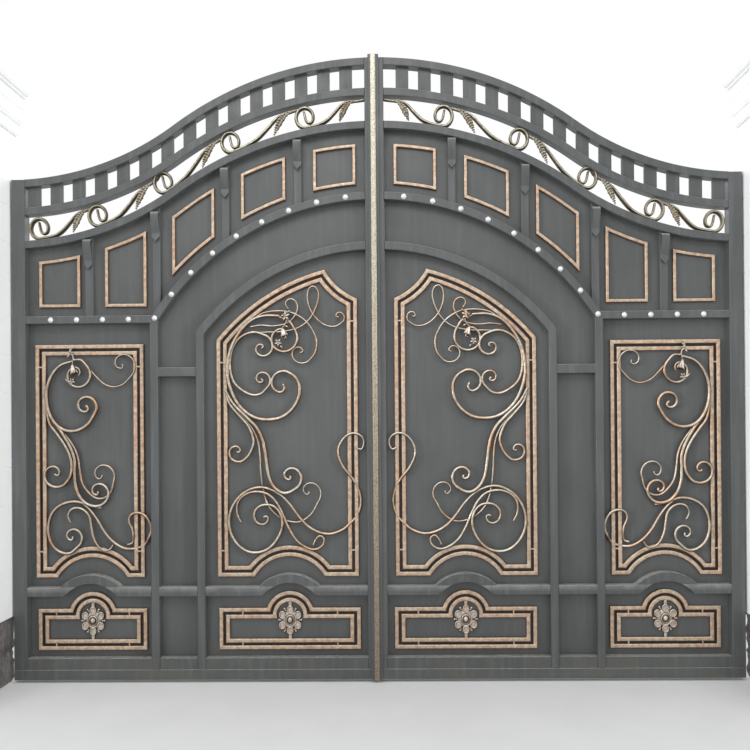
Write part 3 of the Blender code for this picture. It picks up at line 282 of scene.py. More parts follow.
def curl(start, middle, sweep, end_radius):
    """A spiral from start round middle that turns by sweep degrees, then a tight snub at its end."""
    middle = Vector(middle)
    reach = Vector(start) - middle
    angle = math.atan2(reach.y, reach.x)
    turn = math.radians(sweep)
    points = []
    for t in spaced(0.0, 1.0, round(abs(sweep) / 8))[1:]:
        radius = reach.length + (end_radius - reach.length) * t
        points.append(middle + radius * Vector((math.cos(angle + turn * t), math.sin(angle + turn * t))))
    snub = SNUB_SHARE * end_radius
    centre = points[-1] + (middle - points[-1]).normalized() * snub
    for step in range(1, SNUB_STEPS + 1):
        beyond = angle + turn + math.copysign(SNUB_TURN, sweep) * step / SNUB_STEPS
        points.append(centre + snub * Vector((math.cos(beyond), math.sin(beyond))))
    return points


def even(path, spacing):
    """The path with points at even distances."""
    points = [path[0]]
    carry = spacing
    for low, high in zip(path, path[1:]):
        gap = (high - low).length
        while gap > carry:
            low = low + (high - low) * carry / gap
            points.append(low)
            gap = (high - low).length
            carry = spacing
        carry -= gap
    return [*points, path[-1]]


def relaxed(path, rounds):
    """The path with small kinks smoothed out, its ends kept."""
    for _ in range(rounds):
        inner = [(a + 2 * b + c) / 4 for a, b, c in zip(path, path[1:], path[2:])]
        path = [path[0], *inner, path[-1]]
    return path


def way_at(path, index):
    """The way that a path runs at one of its points."""
    return (path[min(len(path) - 1, index + 1)] - path[max(0, index - 1)]).normalized()


def ease(t):
    t = max(0.0, min(1.0, t))
    return t * t * (3 - 2 * t)


def inset(outline, distance):
    """The outline moved inwards, each corner along its mitre. Outlines run anticlockwise."""
    moved = []
    for index, corner in enumerate(outline):
        here = Vector(corner)
        back = (here - Vector(outline[index - 1])).normalized()
        ahead = (Vector(outline[(index + 1) % len(outline)]) - here).normalized()
        normal = Vector((-ahead.y, ahead.x))
        mitre = (Vector((-back.y, back.x)) + normal).normalized()
        moved.append(tuple(here + mitre * distance / max(0.3, mitre.dot(normal))))
    return moved


# Shapes as (points, faces).


def loft(rings, looped=False):
    """A skin through rings with the same number of points, capped or joined end to end."""
    count = len(rings[0])
    points = [point for ring in rings for point in ring]
    faces = []
    for level in range(len(rings) if looped else len(rings) - 1):
        low = level * count
        high = (level + 1) % len(rings) * count
        for index in range(count):
            after = (index + 1) % count
            faces.append((low + index, low + after, high + after, high + index))
    if not looped:
        faces += [tuple(range(count)), tuple(range(len(points) - count, len(points)))]
    return points, faces


def slab(outline, y_front, y_back, radius=EDGE):
    """A plate of that outline in (u, z), with rounded edges."""
    edges = [(radius * (1 - math.sin(turn)), radius * (1 - math.cos(turn))) for turn in spaced(0.0, math.pi / 2, 3)]
    rings = [[(u, y_front + depth, z) for u, z in inset(outline, edge)] for edge, depth in edges]
    rings += [[(u, y_back - depth, z) for u, z in inset(outline, edge)] for edge, depth in reversed(edges)]
    return loft(rings)


def beam(u_low, u_high, y_low, y_high, z_low, z_high, radius=EDGE):
    return slab([(u_low, z_low), (u_high, z_low), (u_high, z_high), (u_low, z_high)], y_low, y_high, radius)


def rounded(low, high, y_low, y_high, radius, steps=3):
    """A rounded rectangle as (across, y) points."""
    corners = ((high, y_high, -1, -1, 0), (low, y_high, 1, -1, 90), (low, y_low, 1, 1, 180), (high, y_low, -1, 1, 270))
    points = []
    for across, y, inwards, down, start in corners:
        for turn in map(math.radians, spaced(start, start + 90, steps)):
            points.append((across + radius * (inwards + math.cos(turn)), y + radius * (down + math.sin(turn))))
    return points


def split(outline, counts):
    """The closed outline with each of its sides cut into that many parts."""
    points = []
    for index, (corner, count) in enumerate(zip(outline, counts)):
        here = Vector(corner)
        way = Vector(outline[(index + 1) % len(outline)]) - here
        points += [tuple(here + way * step / count) for step in range(count)]
    return points


def hammered(shape):
    """The shape with its skin dented as by a hammer, a little differently at each run."""
    points, faces = shape
    places = [Vector(point) for point in points]
    return [tuple(place + noise.noise_vector(place * HAMMER_SCALE) * HAMMER_DEPTH) for place in places], faces


def ring_bar(outline_at, edge, width, front=TRIM_FRONT, back=TRIM_BACK, radius=0.0055):
    """A bar bent round an outline, with soft hammered edges.

    outline_at gives the outline that lies inside the frame's outer edge by a distance.
    """
    outline = outline_at(edge)
    sides = zip(outline, outline[1:] + outline[:1])
    counts = [max(1, math.ceil(math.dist(a, b) / HAMMER_STEP)) for a, b in sides]
    loops = []
    for inside, y in rounded(edge, edge + width, front, back, radius):
        loops.append([(u, y, z) for u, z in split(outline_at(inside), counts)])
    return hammered(loft(loops, looped=True))


def turned(centre, profile, sides=32, stretch=1.0, looped=False):
    """A form turned about an axis along y, through centre in (u, z). The profile is (radius, y) pairs."""
    rings = []
    for radius, y in profile:
        ring = [polar(centre, radius, angle, stretch) for angle in circle(sides)]
        rings.append([(u, y, z) for u, z in ring])
    return loft(rings, looped)


def dome(radius, base, height):
    """The profile of a round head that stands forward of its base."""
    turns = spaced(0.0, math.pi / 2, 8)[:-1]
    return [(radius * math.cos(turn), base - height * math.sin(turn)) for turn in turns]


def torus(centre, radius, tube, y, sides=36):
    profile = [polar((radius, y), tube, angle) for angle in circle(10)]
    return turned(centre, profile, sides, ROSETTE_STRETCH, looped=True)


def ball(centre, radius, y):
    turns = spaced(0.0, math.pi, 10)[1:-1]
    return turned(centre, [(radius * math.sin(turn), y + radius * math.cos(turn)) for turn in turns], 16)


def pod(base, way, profile, lobes=0, lobe_depth=0.0, twist=0.0, sides=20):
    """A form turned about a slanting axis from base along way. The profile is (along, radius) pairs."""
    way = Vector(way).normalized()
    across = way.cross(Vector((0.0, 1.0, 0.0))).normalized()
    other = way.cross(across)
    rings = []
    for along, radius in profile:
        ring = []
        for angle in circle(sides):
            reach = radius * (1 + lobe_depth * math.cos(lobes * angle + twist * along))
            offset = across * math.cos(angle) + other * math.sin(angle)
            ring.append(tuple(Vector(base) + way * along + offset * reach))
        rings.append(ring)
    return loft(rings)


def forged(path, thick, tip, seat, depths=(), sides=12, head=0.2, tail=0.4, deep=1.0):
    """A forged bar along a path in (u, z), thick in its middle, tapering over its head and tail shares.

    seat is the depth that its back rests on. depths holds (u, z, lift, reach): within reach of that
    place the bar stands forward of its seat by lift, to pass over another bar, or behind it. A deep
    bar's section is stretched along y.
    """
    path = relaxed(even(path, FORGE_STEP), 3)
    stations = []
    for index, here in enumerate(path):
        t = index / (len(path) - 1)
        radius = tip + (thick - tip) * min(ease(t / head), ease((1 - t) / tail))
        radius *= 1 + 0.05 * noise.noise(Vector((here.x * 45, thick * 900, here.y * 45)))
        lifts = [lift * math.exp(-(((here - Vector((u, z))).length / reach) ** 4)) for u, z, lift, reach in depths]
        stations.append((here, way_at(path, index), radius, seat - radius * deep - sum(lifts)))
    first, final = stations[0], stations[-1]
    for share in (0.45, 0.85):
        cap = math.sqrt(1 - share * share)
        here, way, radius, y = final
        stations.append((here + way * radius * share, way, radius * cap, y))
        here, way, radius, y = first
        stations.insert(0, (here - way * radius * share, way, radius * cap, y))
    loops = []
    for here, way, radius, y in stations:
        loop = []
        for step in range(sides):
            angle = 2 * math.pi * (step + 0.5) / sides
            across = radius * math.cos(angle)
            loop.append((here.x - way.y * across, y + deep * radius * math.sin(angle), here.y + way.x * across))
        loops.append(loop)
    return loft(loops)


LEAFLET = ((0.0, 0.45), (0.18, 0.85), (0.45, 1.0), (0.72, 0.72), (0.92, 0.30), (1.0, 0.05))


def acanthus(path, half_width, y, pairs):
    """A forged leaf along a path in (u, z): a rib with leaflets on both sides, pointing to its tip."""
    path = even(path, 0.002)
    shapes = [forged(path, 0.0048, 0.0020, y + 0.005, sides=8)]
    for pair in range(pairs):
        t = 0.10 + 0.84 * pair / (pairs - 1)
        index = round(t * (len(path) - 1))
        here = path[index]
        way = way_at(path, index)
        length = half_width * (0.30 + 1.05 * math.sin(math.pi * (0.05 + 0.85 * t)) ** 2)
        profile = [(share * length, size * 0.36 * length) for share, size in LEAFLET]
        for hand in (-1, 1):
            turn = hand * math.radians(58 - 26 * t)
            aside = (way.x * math.cos(turn) - way.y * math.sin(turn), way.x * math.sin(turn) + way.y * math.cos(turn))
            tip = (aside[0], -0.30 if pair % 2 else -0.05, aside[1])
            shapes.append(pod((here.x, y, here.y), tip, profile, sides=8))
    return shapes


# Finishes.


class Finish:
    """A procedural material. Places are in object space, so that the finish moves with its piece."""

    def __init__(self, name, metallic, roughness):
        self.material = bpy.data.materials.new(name)
        self.material.use_nodes = True
        self.tree = self.material.node_tree
        self.shader = self.tree.nodes["Principled BSDF"]
        self.shader.inputs["Metallic"].default_value = metallic
        self.shader.inputs["Roughness"].default_value = roughness
        coordinates = self.tree.nodes.new("ShaderNodeTexCoord")
        self.place = coordinates.outputs["Object"]
        self.normal = coordinates.outputs["Normal"]

    def feed(self, value, socket):
        """Link a node's output to the socket, or set its number, vector or colour."""
        if isinstance(value, bpy.types.NodeSocket):
            self.tree.links.new(value, socket)
        else:
            socket.default_value = (*value, 1.0) if socket.type == "RGBA" else value

    def node(self, kind, **inputs):
        made = self.tree.nodes.new(kind)
        for key, value in inputs.items():
            self.feed(value, made.inputs[key.title()])
        return made

    def noise(self, scale, detail=4.0, roughness=0.55, stretch=None):
        """Noise as a grey. Places are scaled by axis to stretch it into streaks."""
        place = self.place
        if stretch:
            place = self.node("ShaderNodeMapping", vector=place, scale=stretch).outputs["Vector"]
        made = self.node("ShaderNodeTexNoise", vector=place, scale=scale, detail=detail, roughness=roughness)
        return made.outputs["Fac"]

    def cells(self, scale):
        return self.node("ShaderNodeTexVoronoi", vector=self.place, scale=scale).outputs["Distance"]

    def ramp(self, source, *stops):
        """Colours or greys by place on the ramp, as (place, colour) pairs."""
        made = self.tree.nodes.new("ShaderNodeValToRGB")
        self.feed(source, made.inputs["Fac"])
        elements = made.color_ramp.elements
        while len(elements) < len(stops):
            elements.new(0.5)
        for element, (place, colour) in zip(elements, stops):
            element.position = place
            element.color = (*colour, 1.0) if isinstance(colour, tuple) else (colour, colour, colour, 1.0)
        return made.outputs["Color"]

    def mix(self, share, low, high, blend="MIX"):
        made = self.tree.nodes.new("ShaderNodeMix")
        made.data_type = "RGBA"
        made.blend_type = blend
        for value, index in ((share, 0), (low, 6), (high, 7)):
            self.feed(value, made.inputs[index])
        return made.outputs[2]

    def math(self, operation, first, second):
        made = self.tree.nodes.new("ShaderNodeMath")
        made.operation = operation
        self.feed(first, made.inputs[0])
        self.feed(second, made.inputs[1])
        return made.outputs[0]

    def times(self, first, second):
        return self.math("MULTIPLY", first, second)

    def axis(self, vector, name):
        return self.node("ShaderNodeSeparateXYZ", vector=vector).outputs[name]

    def facing(self):
        """1 where the skin faces the gate's front, falling to 0 on its sides and back."""
        return self.times(self.axis(self.normal, "Y"), -1.0)

    def finished(self, colour, roughness, *bumps):
        """The material, with roughness as (source, low, high) and bumps as (height, strength, distance)."""
        source, smooth_end, rough_end = roughness
        self.feed(colour, self.shader.inputs["Base Color"])
        self.feed(self.ramp(source, (0.3, smooth_end), (0.7, rough_end)), self.shader.inputs["Roughness"])
        normal = None
        for height, strength, distance in bumps:
            made = self.node("ShaderNodeBump", height=height, strength=strength, distance=distance)
            if normal:
                self.feed(normal, made.inputs["Normal"])
            normal = made.outputs["Normal"]
        self.feed(normal, self.shader.inputs["Normal"])
        return self.material


# Pale tone for faces that look up: partly dust, partly painted highlight.
LEDGE_DUST_AND_TOP_LIGHT = (0.40, 0.40, 0.37)
# Colour of the pale band under the lower rails' top edge: painted highlight.
TOP_EDGE_HIGHLIGHT = (0.34, 0.345, 0.335)
GROUND_DIRT = (0.130, 0.125, 0.085)


def paint(name, dark, light, bump, worn=0.22, top_edge_highlight=0.0):
    """Satin grey metal paint with cloudy tone, rain streaks, dust near the ground, and on faces that look up a pale
    tone that is partly dust and partly painted highlight.

    top_edge_highlight is the strength of a painted highlight just under the lower rails' top edge.
    """
    made = Finish(name, 0.0, 0.45)
    height = made.axis(made.place, "Z")
    cloud = made.ramp(made.noise(2.2, 5.0), (0.32, dark), (0.68, light))
    streaks = made.ramp(made.noise(1.0, 4.0, stretch=(34.0, 34.0, 2.2)), (0.48, 0.0), (0.78, worn))
    tone = made.mix(streaks, cloud, tuple(min(1.0, channel * 2.6) for channel in light))
    # Faces that look up turn pale: partly dust, partly painted highlight of light from above.
    ledge = made.ramp(made.axis(made.normal, "Z"), (0.30, 0.0), (0.80, 0.9))
    dust_and_top_light = made.times(ledge, made.ramp(made.noise(45.0, 5.0, 0.7), (0.30, 0.25), (0.62, 1.0)))
    tone = made.mix(dust_and_top_light, tone, LEDGE_DUST_AND_TOP_LIGHT)
    # A pale, patchy band just under the lower rails' top edge: painted highlight.
    if top_edge_highlight:
        near = made.times(made.math("SUBTRACT", height, LOWER_RAIL_TOP - 0.030), 30.0)
        patchy = made.ramp(made.noise(7.0, 6.0, 0.7, (2.0, 2.0, 0.5)), (0.34, 0.25), (0.62, 1.0))
        painted_light_band = made.times(made.ramp(near, (0.0, 0.0), (0.85, top_edge_highlight)), patchy)
        below = made.math("LESS_THAN", height, LOWER_RAIL_TOP + 0.002)
        tone = made.mix(made.times(painted_light_band, below), tone, TOP_EDGE_HIGHLIGHT)
    low = made.ramp(made.times(height, 2.5), (0.0, 0.75), (0.55, 0.0))
    dusty = made.times(low, made.ramp(made.noise(9.0, 6.0, 0.68), (0.44, 0.0), (0.75, 1.0)))
    tone = made.mix(dusty, tone, GROUND_DIRT)
    grain = (made.noise(420.0, 2.0), 0.10 * bump, 0.001)
    return made.finished(tone, (made.noise(9.0, 5.0), 0.36, 0.54), grain, (made.noise(14.0, 3.0), 0.12 * bump, 0.004))


def patina(name, side, dark, light, edge, tint, metallic, roughness, mottling, scuffs=0.0):
    """Metal patina with painted light: pale where the skin faces the front, up and left, partly worn metal and partly
    painted highlight; dark on sides and undersides, partly patina and partly painted shade; mottled and tinted in
    patches.
    """
    made = Finish(name, metallic, roughness)
    # Painted highlight: faces that look up and to the left, towards the light, score paler.
    painted_top_light = made.times(made.axis(made.normal, "Z"), 0.55)
    painted_left_light = made.times(made.axis(made.normal, "X"), -0.25)
    wear_and_light = made.math("ADD", made.facing(), made.math("ADD", painted_top_light, painted_left_light))
    mottle = made.math("SUBTRACT", made.noise(42.0, 7.0, 0.66), 0.5)
    wear_and_light = made.math("ADD", wear_and_light, made.times(mottle, mottling))
    # The side tone is partly painted shade and the edge tone partly painted highlight.
    tone = made.ramp(made.times(wear_and_light, 0.7), (0.20, side), (0.42, dark), (0.66, light), (0.84, edge))
    patches = made.ramp(made.noise(7.0, 5.0), (0.44, 0.0), (0.64, 0.85))
    tone = made.mix(patches, tone, made.mix(1.0, tone, tint, "MULTIPLY"))
    if scuffs:
        marks = made.ramp(made.noise(85.0, 5.0, 0.7), (0.62, 0.0), (0.70, scuffs))
        tone = made.mix(marks, tone, (0.050, 0.040, 0.034))
    grain = made.noise(130.0, 4.0, 0.6)
    pits = (made.cells(70.0), 0.20, 0.0012)
    return made.finished(tone, (grain, roughness - 0.08, roughness + 0.12), (grain, 0.30, 0.0010), pits)


def strip_gold():
    """Hammered bar with worn gold paint: paler towards its head, browner and darker towards its foot."""
    made = Finish("strip_gold_hammered", 0.35, 0.45)
    share = made.times(made.axis(made.place, "Z"), 0.30)
    pale = made.ramp(share, (0.05, (0.34, 0.28, 0.215)), (0.45, (0.45, 0.40, 0.30)), (0.95, (0.88, 0.87, 0.73)))
    specks = made.ramp(made.noise(150.0, 6.0, 0.75), (0.40, 0.0), (0.60, 1.0))
    tone = made.mix(specks, made.mix(1.0, pale, (0.42, 0.36, 0.30), "MULTIPLY"), pale)
    # Painted highlight: fine bright specks that stand in for light caught on the hammered skin.
    painted_glints = made.ramp(made.noise(240.0, 3.0), (0.60, 0.0), (0.72, 0.75))
    tone = made.mix(painted_glints, tone, (0.80, 0.76, 0.65))
    front = made.ramp(made.facing(), (0.25, 0.0), (0.75, 1.0))
    tone = made.mix(front, (0.085, 0.075, 0.055), tone)
    dents = (made.cells(95.0), 0.45, 0.0020)
    return made.finished(tone, (made.noise(120.0, 4.0), 0.34, 0.60), dents, (made.noise(220.0, 4.0), 0.40, 0.0012))


def cladding():
    """White coated cladding, with faint clouds and a fine grain."""
    made = Finish("white_cladding", 0.0, 0.55)
    cloud = made.ramp(made.noise(1.8, 6.0), (0.30, (0.88, 0.89, 0.89)), (0.70, (0.93, 0.935, 0.93)))
    drips = made.ramp(made.noise(1.0, 4.0, stretch=(22.0, 22.0, 0.9)), (0.55, 0.0), (0.85, 0.30))
    tone = made.mix(drips, cloud, (0.74, 0.75, 0.74))
    grain = (made.noise(260.0, 4.0), 0.12, 0.001)
    return made.finished(tone, (made.noise(30.0, 4.0), 0.48, 0.64), grain, (made.noise(12.0, 3.0), 0.08, 0.003))


def granite():
    """Dark brown-grey split stone with pale veins."""
    made = Finish("split_stone", 0.0, 0.62)
    base = made.ramp(made.noise(9.0, 9.0, 0.7), (0.30, (0.060, 0.056, 0.053)), (0.70, (0.170, 0.160, 0.154)))
    veins = made.ramp(made.noise(5.0, 8.0, 0.75, (1.6, 1.6, 0.9)), (0.49, 0.0), (0.53, 0.55), (0.57, 0.0))
    specks = made.ramp(made.noise(170.0, 3.0), (0.60, 0.0), (0.78, 0.7))
    tone = made.mix(specks, made.mix(veins, base, (0.29, 0.27, 0.255)), (0.36, 0.35, 0.34))
    rough = (made.noise(24.0, 8.0, 0.7), 0.55, 0.006)
    return made.finished(tone, (made.noise(60.0, 4.0), 0.42, 0.75), rough, (made.noise(210.0, 3.0), 0.25, 0.001))


def rivet_metal():
    made = Finish("rivet_metal", 0.55, 0.30)
    tone = made.ramp(made.noise(160.0, 4.0), (0.30, (0.74, 0.74, 0.73)), (0.70, (0.90, 0.90, 0.89)))
    return made.finished(tone, (made.noise(240.0, 3.0), 0.24, 0.40), (made.noise(300.0, 3.0), 0.08, 0.0006))


FRAME_PAINT = paint("frame_paint_satin", (0.073, 0.077, 0.077), (0.093, 0.098, 0.098), 1.0)
RAIL_PAINT = paint("rail_paint_worn", (0.072, 0.075, 0.074), (0.094, 0.097, 0.095), 1.2, worn=0.30, top_edge_highlight=0.62)
SHEET_PAINT = paint("sheet_paint_satin", (0.074, 0.077, 0.076), (0.095, 0.098, 0.096), 1.6, worn=0.10)
# Near-black paint for the strip between the double frames: painted shade in the gap.
GAP_SHADE = paint("gap_shade_dark_brown", (0.012, 0.009, 0.007), (0.020, 0.014, 0.011), 1.0, worn=0.0)
# In these finishes the side tones are partly painted shade and the edge tones partly painted highlight.
COPPER = patina(
    "copper_worn_painted_light", side=(0.125, 0.072, 0.042), dark=(0.25, 0.160, 0.108), light=(0.470, 0.340, 0.248),
    edge=(0.70, 0.60, 0.45), tint=(1.0, 0.90, 0.86), metallic=0.40, roughness=0.44, mottling=1.1, scuffs=0.8,
)
BRONZE = patina(
    "bronze_worn_painted_light", side=(0.045, 0.030, 0.021), dark=(0.160, 0.115, 0.083), light=(0.41, 0.345, 0.26),
    edge=(0.76, 0.72, 0.63), tint=(1.0, 0.70, 0.54), metallic=0.60, roughness=0.34, mottling=0.6,
)
CREST_BRONZE = patina(
    "crest_bronze_worn_painted_light", side=(0.060, 0.052, 0.036), dark=(0.17, 0.145, 0.100), light=(0.36, 0.325, 0.235),
    edge=(0.60, 0.56, 0.44), tint=(0.80, 0.72, 0.62), metallic=0.50, roughness=0.38, mottling=0.7,
)
LEAF_BRONZE = patina(
    "leaf_bronze_dark", side=(0.045, 0.035, 0.025), dark=(0.12, 0.100, 0.072), light=(0.28, 0.245, 0.18),
    edge=(0.55, 0.51, 0.41), tint=(0.90, 0.78, 0.68), metallic=0.45, roughness=0.42, mottling=0.9,
)
PEWTER = patina(
    "rosette_pewter", side=(0.070, 0.052, 0.040), dark=(0.20, 0.158, 0.120), light=(0.44, 0.370, 0.300),
    edge=(0.76, 0.70, 0.62), tint=(1.0, 0.82, 0.74), metallic=0.35, roughness=0.40, mottling=0.7,
)
# A darker copy of the pewter for the petals' cups and the hub's groove: painted shade in these hollows.
PEWTER_PAINTED_SHADE = patina(
    "rosette_cups", side=(0.040, 0.032, 0.025), dark=(0.090, 0.075, 0.058), light=(0.190, 0.165, 0.130),
    edge=(0.36, 0.32, 0.26), tint=(0.9, 0.85, 0.80), metallic=0.30, roughness=0.48, mottling=1.0,
)
GOLD = strip_gold()
CLADDING = cladding()
STONE = granite()
RIVET = rivet_metal()


# Making pieces.


def placed(name, data):
    """A new object in the scene."""
    obj = bpy.data.objects.new(name, data)
    bpy.context.scene.collection.objects.link(obj)
    return obj


def piece(name, shapes, finish, side, body, replaces=(), soften=38, origin=(GATE_X, GATE_Y)):
    """One visible piece from shapes in gate coordinates, on its CAD body."""
    points = []
    faces = []
    for shape_points, shape_faces in shapes:
        base = len(points)
        points += [(origin[0] + side * u, origin[1] + y, z) for u, y, z in shape_points]
        faces += [tuple(base + index for index in face) for face in shape_faces]
    mesh = bpy.data.meshes.new(name)
    mesh.from_pydata(points, [], faces)
    shell = bmesh.new()
    shell.from_mesh(mesh)
    bmesh.ops.recalc_face_normals(shell, faces=shell.faces)
    shell.to_mesh(mesh)
    shell.free()
    mesh.shade_smooth()
    mesh.set_sharp_from_angle(angle=math.radians(soften))
    mesh.materials.append(finish)
    obj = placed(name, mesh)
    obj.modifiers.new("Even normals", "WEIGHTED_NORMAL").keep_sharp = True
    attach(obj, body)
    if replaces:
        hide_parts(*replaces)


class Leaf:
    """One leaf. Its pieces take the leaf's name and stand for its CAD nodes."""

    def __init__(self, title, side):
        self.title = title
        self.side = side
        self.body = f"{title}_leaf"

    def add(self, name, shapes, finish=FRAME_PAINT, slot="frame_paint", replaces=None):
        nodes = [f"{self.title}_{node}" for node in ([name] if replaces is None else replaces)]
        piece(f"{self.title}_{name}_made", shapes, finish, self.side, self.body, nodes)


def refinished(node, finish):
    """A CAD node that keeps its shape and takes a better finish."""
    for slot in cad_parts[node].material_slots:
        slot.material = finish


# The leaf's frame.

HINGE_U = OUTER.u_high - 0.020
HINGE_Y = BACK + 0.020
HINGE_LOW = 0.45
HINGE_HIGH = TOP_OUTER - 0.315
HINGE_HEIGHTS = (HINGE_LOW, (HINGE_LOW + HINGE_HIGH) / 2, HINGE_HIGH)
BARREL_HEIGHT = 0.060
BARREL_END_RADIUS = 0.0115
BARREL_RADIUS = 0.0135
BARREL_BEVEL = 0.002


def barrel(height):
    """A hinge barrel with its strap, behind the outer stile."""
    rings = []
    for z, radius in (
        (0.0, BARREL_END_RADIUS), (BARREL_BEVEL, BARREL_RADIUS),
        (BARREL_HEIGHT - BARREL_BEVEL, BARREL_RADIUS), (BARREL_HEIGHT, BARREL_END_RADIUS),
    ):
        rings.append([(*polar((HINGE_U, HINGE_Y), radius, angle), height + z) for angle in circle(24)])
    depths = (BACK - 0.002, HINGE_Y - 0.004)
    return [loft(rings), beam(HINGE_U - 0.012, HINGE_U + 0.012, *depths, height, height + BARREL_HEIGHT, 0.0015)]


def stiles(leaf):
    shapes = [beam(STILE_INNER, OUTER.u_high, FRONT, BACK, OUTER.z_low, TOP_OUTER)]
    for height in HINGE_HEIGHTS:
        shapes += barrel(height)
    leaf.add("outer_stile", shapes)
    leaf.add("meeting_stile", [beam(MEETING.u_low, MEETING.u_high, FRONT, BACK, MEETING.z_low, TOP_CENTRE)])


def bottom_rail(leaf):
    """The kick plate, and a ledge in each bay between the verticals."""
    shapes = [beam(MEETING.u_low, OUTER.u_high, FRONT, BACK, BOTTOM.z_low, KICK_TOP)]
    for low, high in ((MEETING.u_high, JAMB_INNER), (JAMB.u_high, MULLION_INNER), (MULLION.u_high, STILE_INNER)):
        shapes.append(beam(low, high, FRONT + 0.004, INNER_BACK, KICK_TOP - 0.01, BOTTOM.z_high))
    leaf.add("bottom_rail", shapes)


def band(line):
    """A rail's outline along an ogee, from stile to stile."""
    return line.line(MEETING.u_high, STILE_INNER, RAIL_WIDTH) + line.line(STILE_INNER, MEETING.u_high, 0.0)


def picket(index):
    middle = FIRST_PICKET_AT - index * PICKET_PITCH
    low, high = middle - PICKET_WIDTH / 2, middle + PICKET_WIDTH / 2
    outline = PICKET_LINE.line(low, high, 0.006, 6) + TOP_LINE.line(high, low, RAIL_WIDTH - 0.004, 6)
    return slab(outline, -PICKET_HALF, PICKET_HALF, 0.0015)


def curved_rails(leaf):
    leaf.add("top_rail", [slab(band(TOP_LINE), FRONT, BACK)])
    leaf.add("crest_rail", [slab(band(CREST_LINE), FRONT, BACK)])
    pickets = [picket(index) for index in range(PICKET_COUNT)]
    leaf.add("picket_rail", [slab(band(PICKET_LINE), FRONT, BACK), *pickets])


def strap_profile(top):
    """(depth, height) of the corbel's strap: out under the rail, back to the divider, and out at the tip."""
    face = INNER_BACK - DIVIDER_DEPTH
    foot = top - CORBEL_DROP
    shares = ((0.05, 0.0), (0.62, 0.03), (0.96, 0.12), (1.0, 0.24), (0.84, 0.50), (0.55, 0.76), (0.26, 0.97))
    guides = [(face - CORBEL_REACH * reach, top - CORBEL_DROP * drop) for reach, drop in shares]
    tip = [(face - 0.008, foot - 0.004), (face - 0.012, foot - 0.5 * CORBEL_TIP), (face - 0.019, foot - CORBEL_TIP)]
    return smooth(guides + tip, 3)


def corbel(u_middle):
    """A bent strap under the crest rail that ends in a pointed tip."""
    half = BAR_WIDTH / 2
    top = min(CREST_LINE.height(u, RAIL_WIDTH) for u in (u_middle - half, u_middle + half)) - 0.001
    path = strap_profile(top)
    point_from = top - CORBEL_DROP - 0.45 * CORBEL_TIP
    point_to = path[-1].y
    rings = []
    for index, here in enumerate(path):
        way = way_at(path, index)
        inward = Vector((-way.y, way.x)) * STRAP / 2
        inward = inward if inward.x > 0 else -inward
        half_here = half
        if here.y < point_from:
            half_here = max(0.001, half * (here.y - point_to) / (point_from - point_to))
        ring = []
        for across, shift in ((-1, -1), (1, -1), (1, 1), (-1, 1)):
            ring.append((u_middle + half_here * across, *(here + inward * shift)))
        rings.append(ring)
    return loft(rings)


def riveted_rail(leaf):
    shapes = [slab(riveted_line(RAIL_WIDTH) + riveted_line(0.0)[::-1], FRONT, INNER_BACK)]
    for middle in DIVIDERS_AT:
        low, high = middle - BAR_WIDTH / 2, middle + BAR_WIDTH / 2
        strip = [(u, riveted_height(u, 0.015)) for u in (low, high)]
        strip += CREST_LINE.line(high, low, RAIL_WIDTH - 0.003, 6)
        shapes += [slab(strip, INNER_BACK - DIVIDER_DEPTH, INNER_BACK, 0.0025), corbel(middle)]
    leaf.add("riveted_rail", shapes)


RIVET_RADIUS = 0.0125
RIVET_HEIGHT = 0.010
RIVET_PITCH_ARC = math.radians(6.35)
RIVETS_ON_ARC = 9
RIVET_PITCH_LEVEL = 0.138
RIVETS_ON_LEVEL = 4


def rivets(leaf):
    """Round-headed rivets along the middle of the riveted rail."""
    radius = RIVETED_RADIUS - RAIL_WIDTH / 2
    turns = [RIVET_PITCH_ARC * index for index in range(1, RIVETS_ON_ARC + 1)]
    spots = [(radius * math.sin(turn), RIVETED_MIDDLE + radius * math.cos(turn)) for turn in turns]
    level_from = spots[-1][0]
    for index in range(1, RIVETS_ON_LEVEL + 1):
        spots.append((level_from + RIVET_PITCH_LEVEL * index, RIVETED_FLAT_TOP - RAIL_WIDTH / 2))
    profile = [(RIVET_RADIUS + 0.0015, FRONT + 0.0005), (RIVET_RADIUS + 0.0015, FRONT - 0.001)]
    profile += dome(RIVET_RADIUS, FRONT - 0.001, RIVET_HEIGHT)
    leaf.add("rivets", [turned(spot, profile, 24) for spot in spots], RIVET, None, [])


def mullion(leaf):
    """The upright beside the narrow bay, and the short rails across that bay."""
    places = (MULLION.u_high, riveted_kink(RAIL_WIDTH), MULLION_INNER)
    outline = [(MULLION_INNER, KICK_TOP), (MULLION.u_high, KICK_TOP)]
    outline += [(u, riveted_height(u, RAIL_WIDTH - 0.002)) for u in places]
    leaf.add("mullion", [slab(outline, FRONT, INNER_BACK)])
    rails = []
    for bottom, top in (TRANSOM, (SIDE_RAIL.z_low, LOWER_RAIL_TOP)):
        rails.append(beam(JAMB.u_high, MULLION_INNER + 0.01, FRONT + 0.002, INNER_BACK - 0.001, bottom, top))
    leaf.add("short_rails", rails, RAIL_PAINT, replaces=[])


def door_arch(leaf):
    middle = (0.0, ARCH_MIDDLE)
    inner = ARCH_RADIUS - BAR_WIDTH
    end = MEETING.u_high
    outline = [(JAMB_INNER, KICK_TOP), (JAMB.u_high, KICK_TOP)]
    outline += arc(middle, ARCH_RADIUS, math.acos(JAMB.u_high / ARCH_RADIUS), math.acos(end / ARCH_RADIUS), 60)
    outline += arc(middle, inner, math.acos(end / inner), math.acos(JAMB_INNER / inner), 60)
    leaf.add("door_arch", [slab(outline, FRONT, INNER_BACK)])


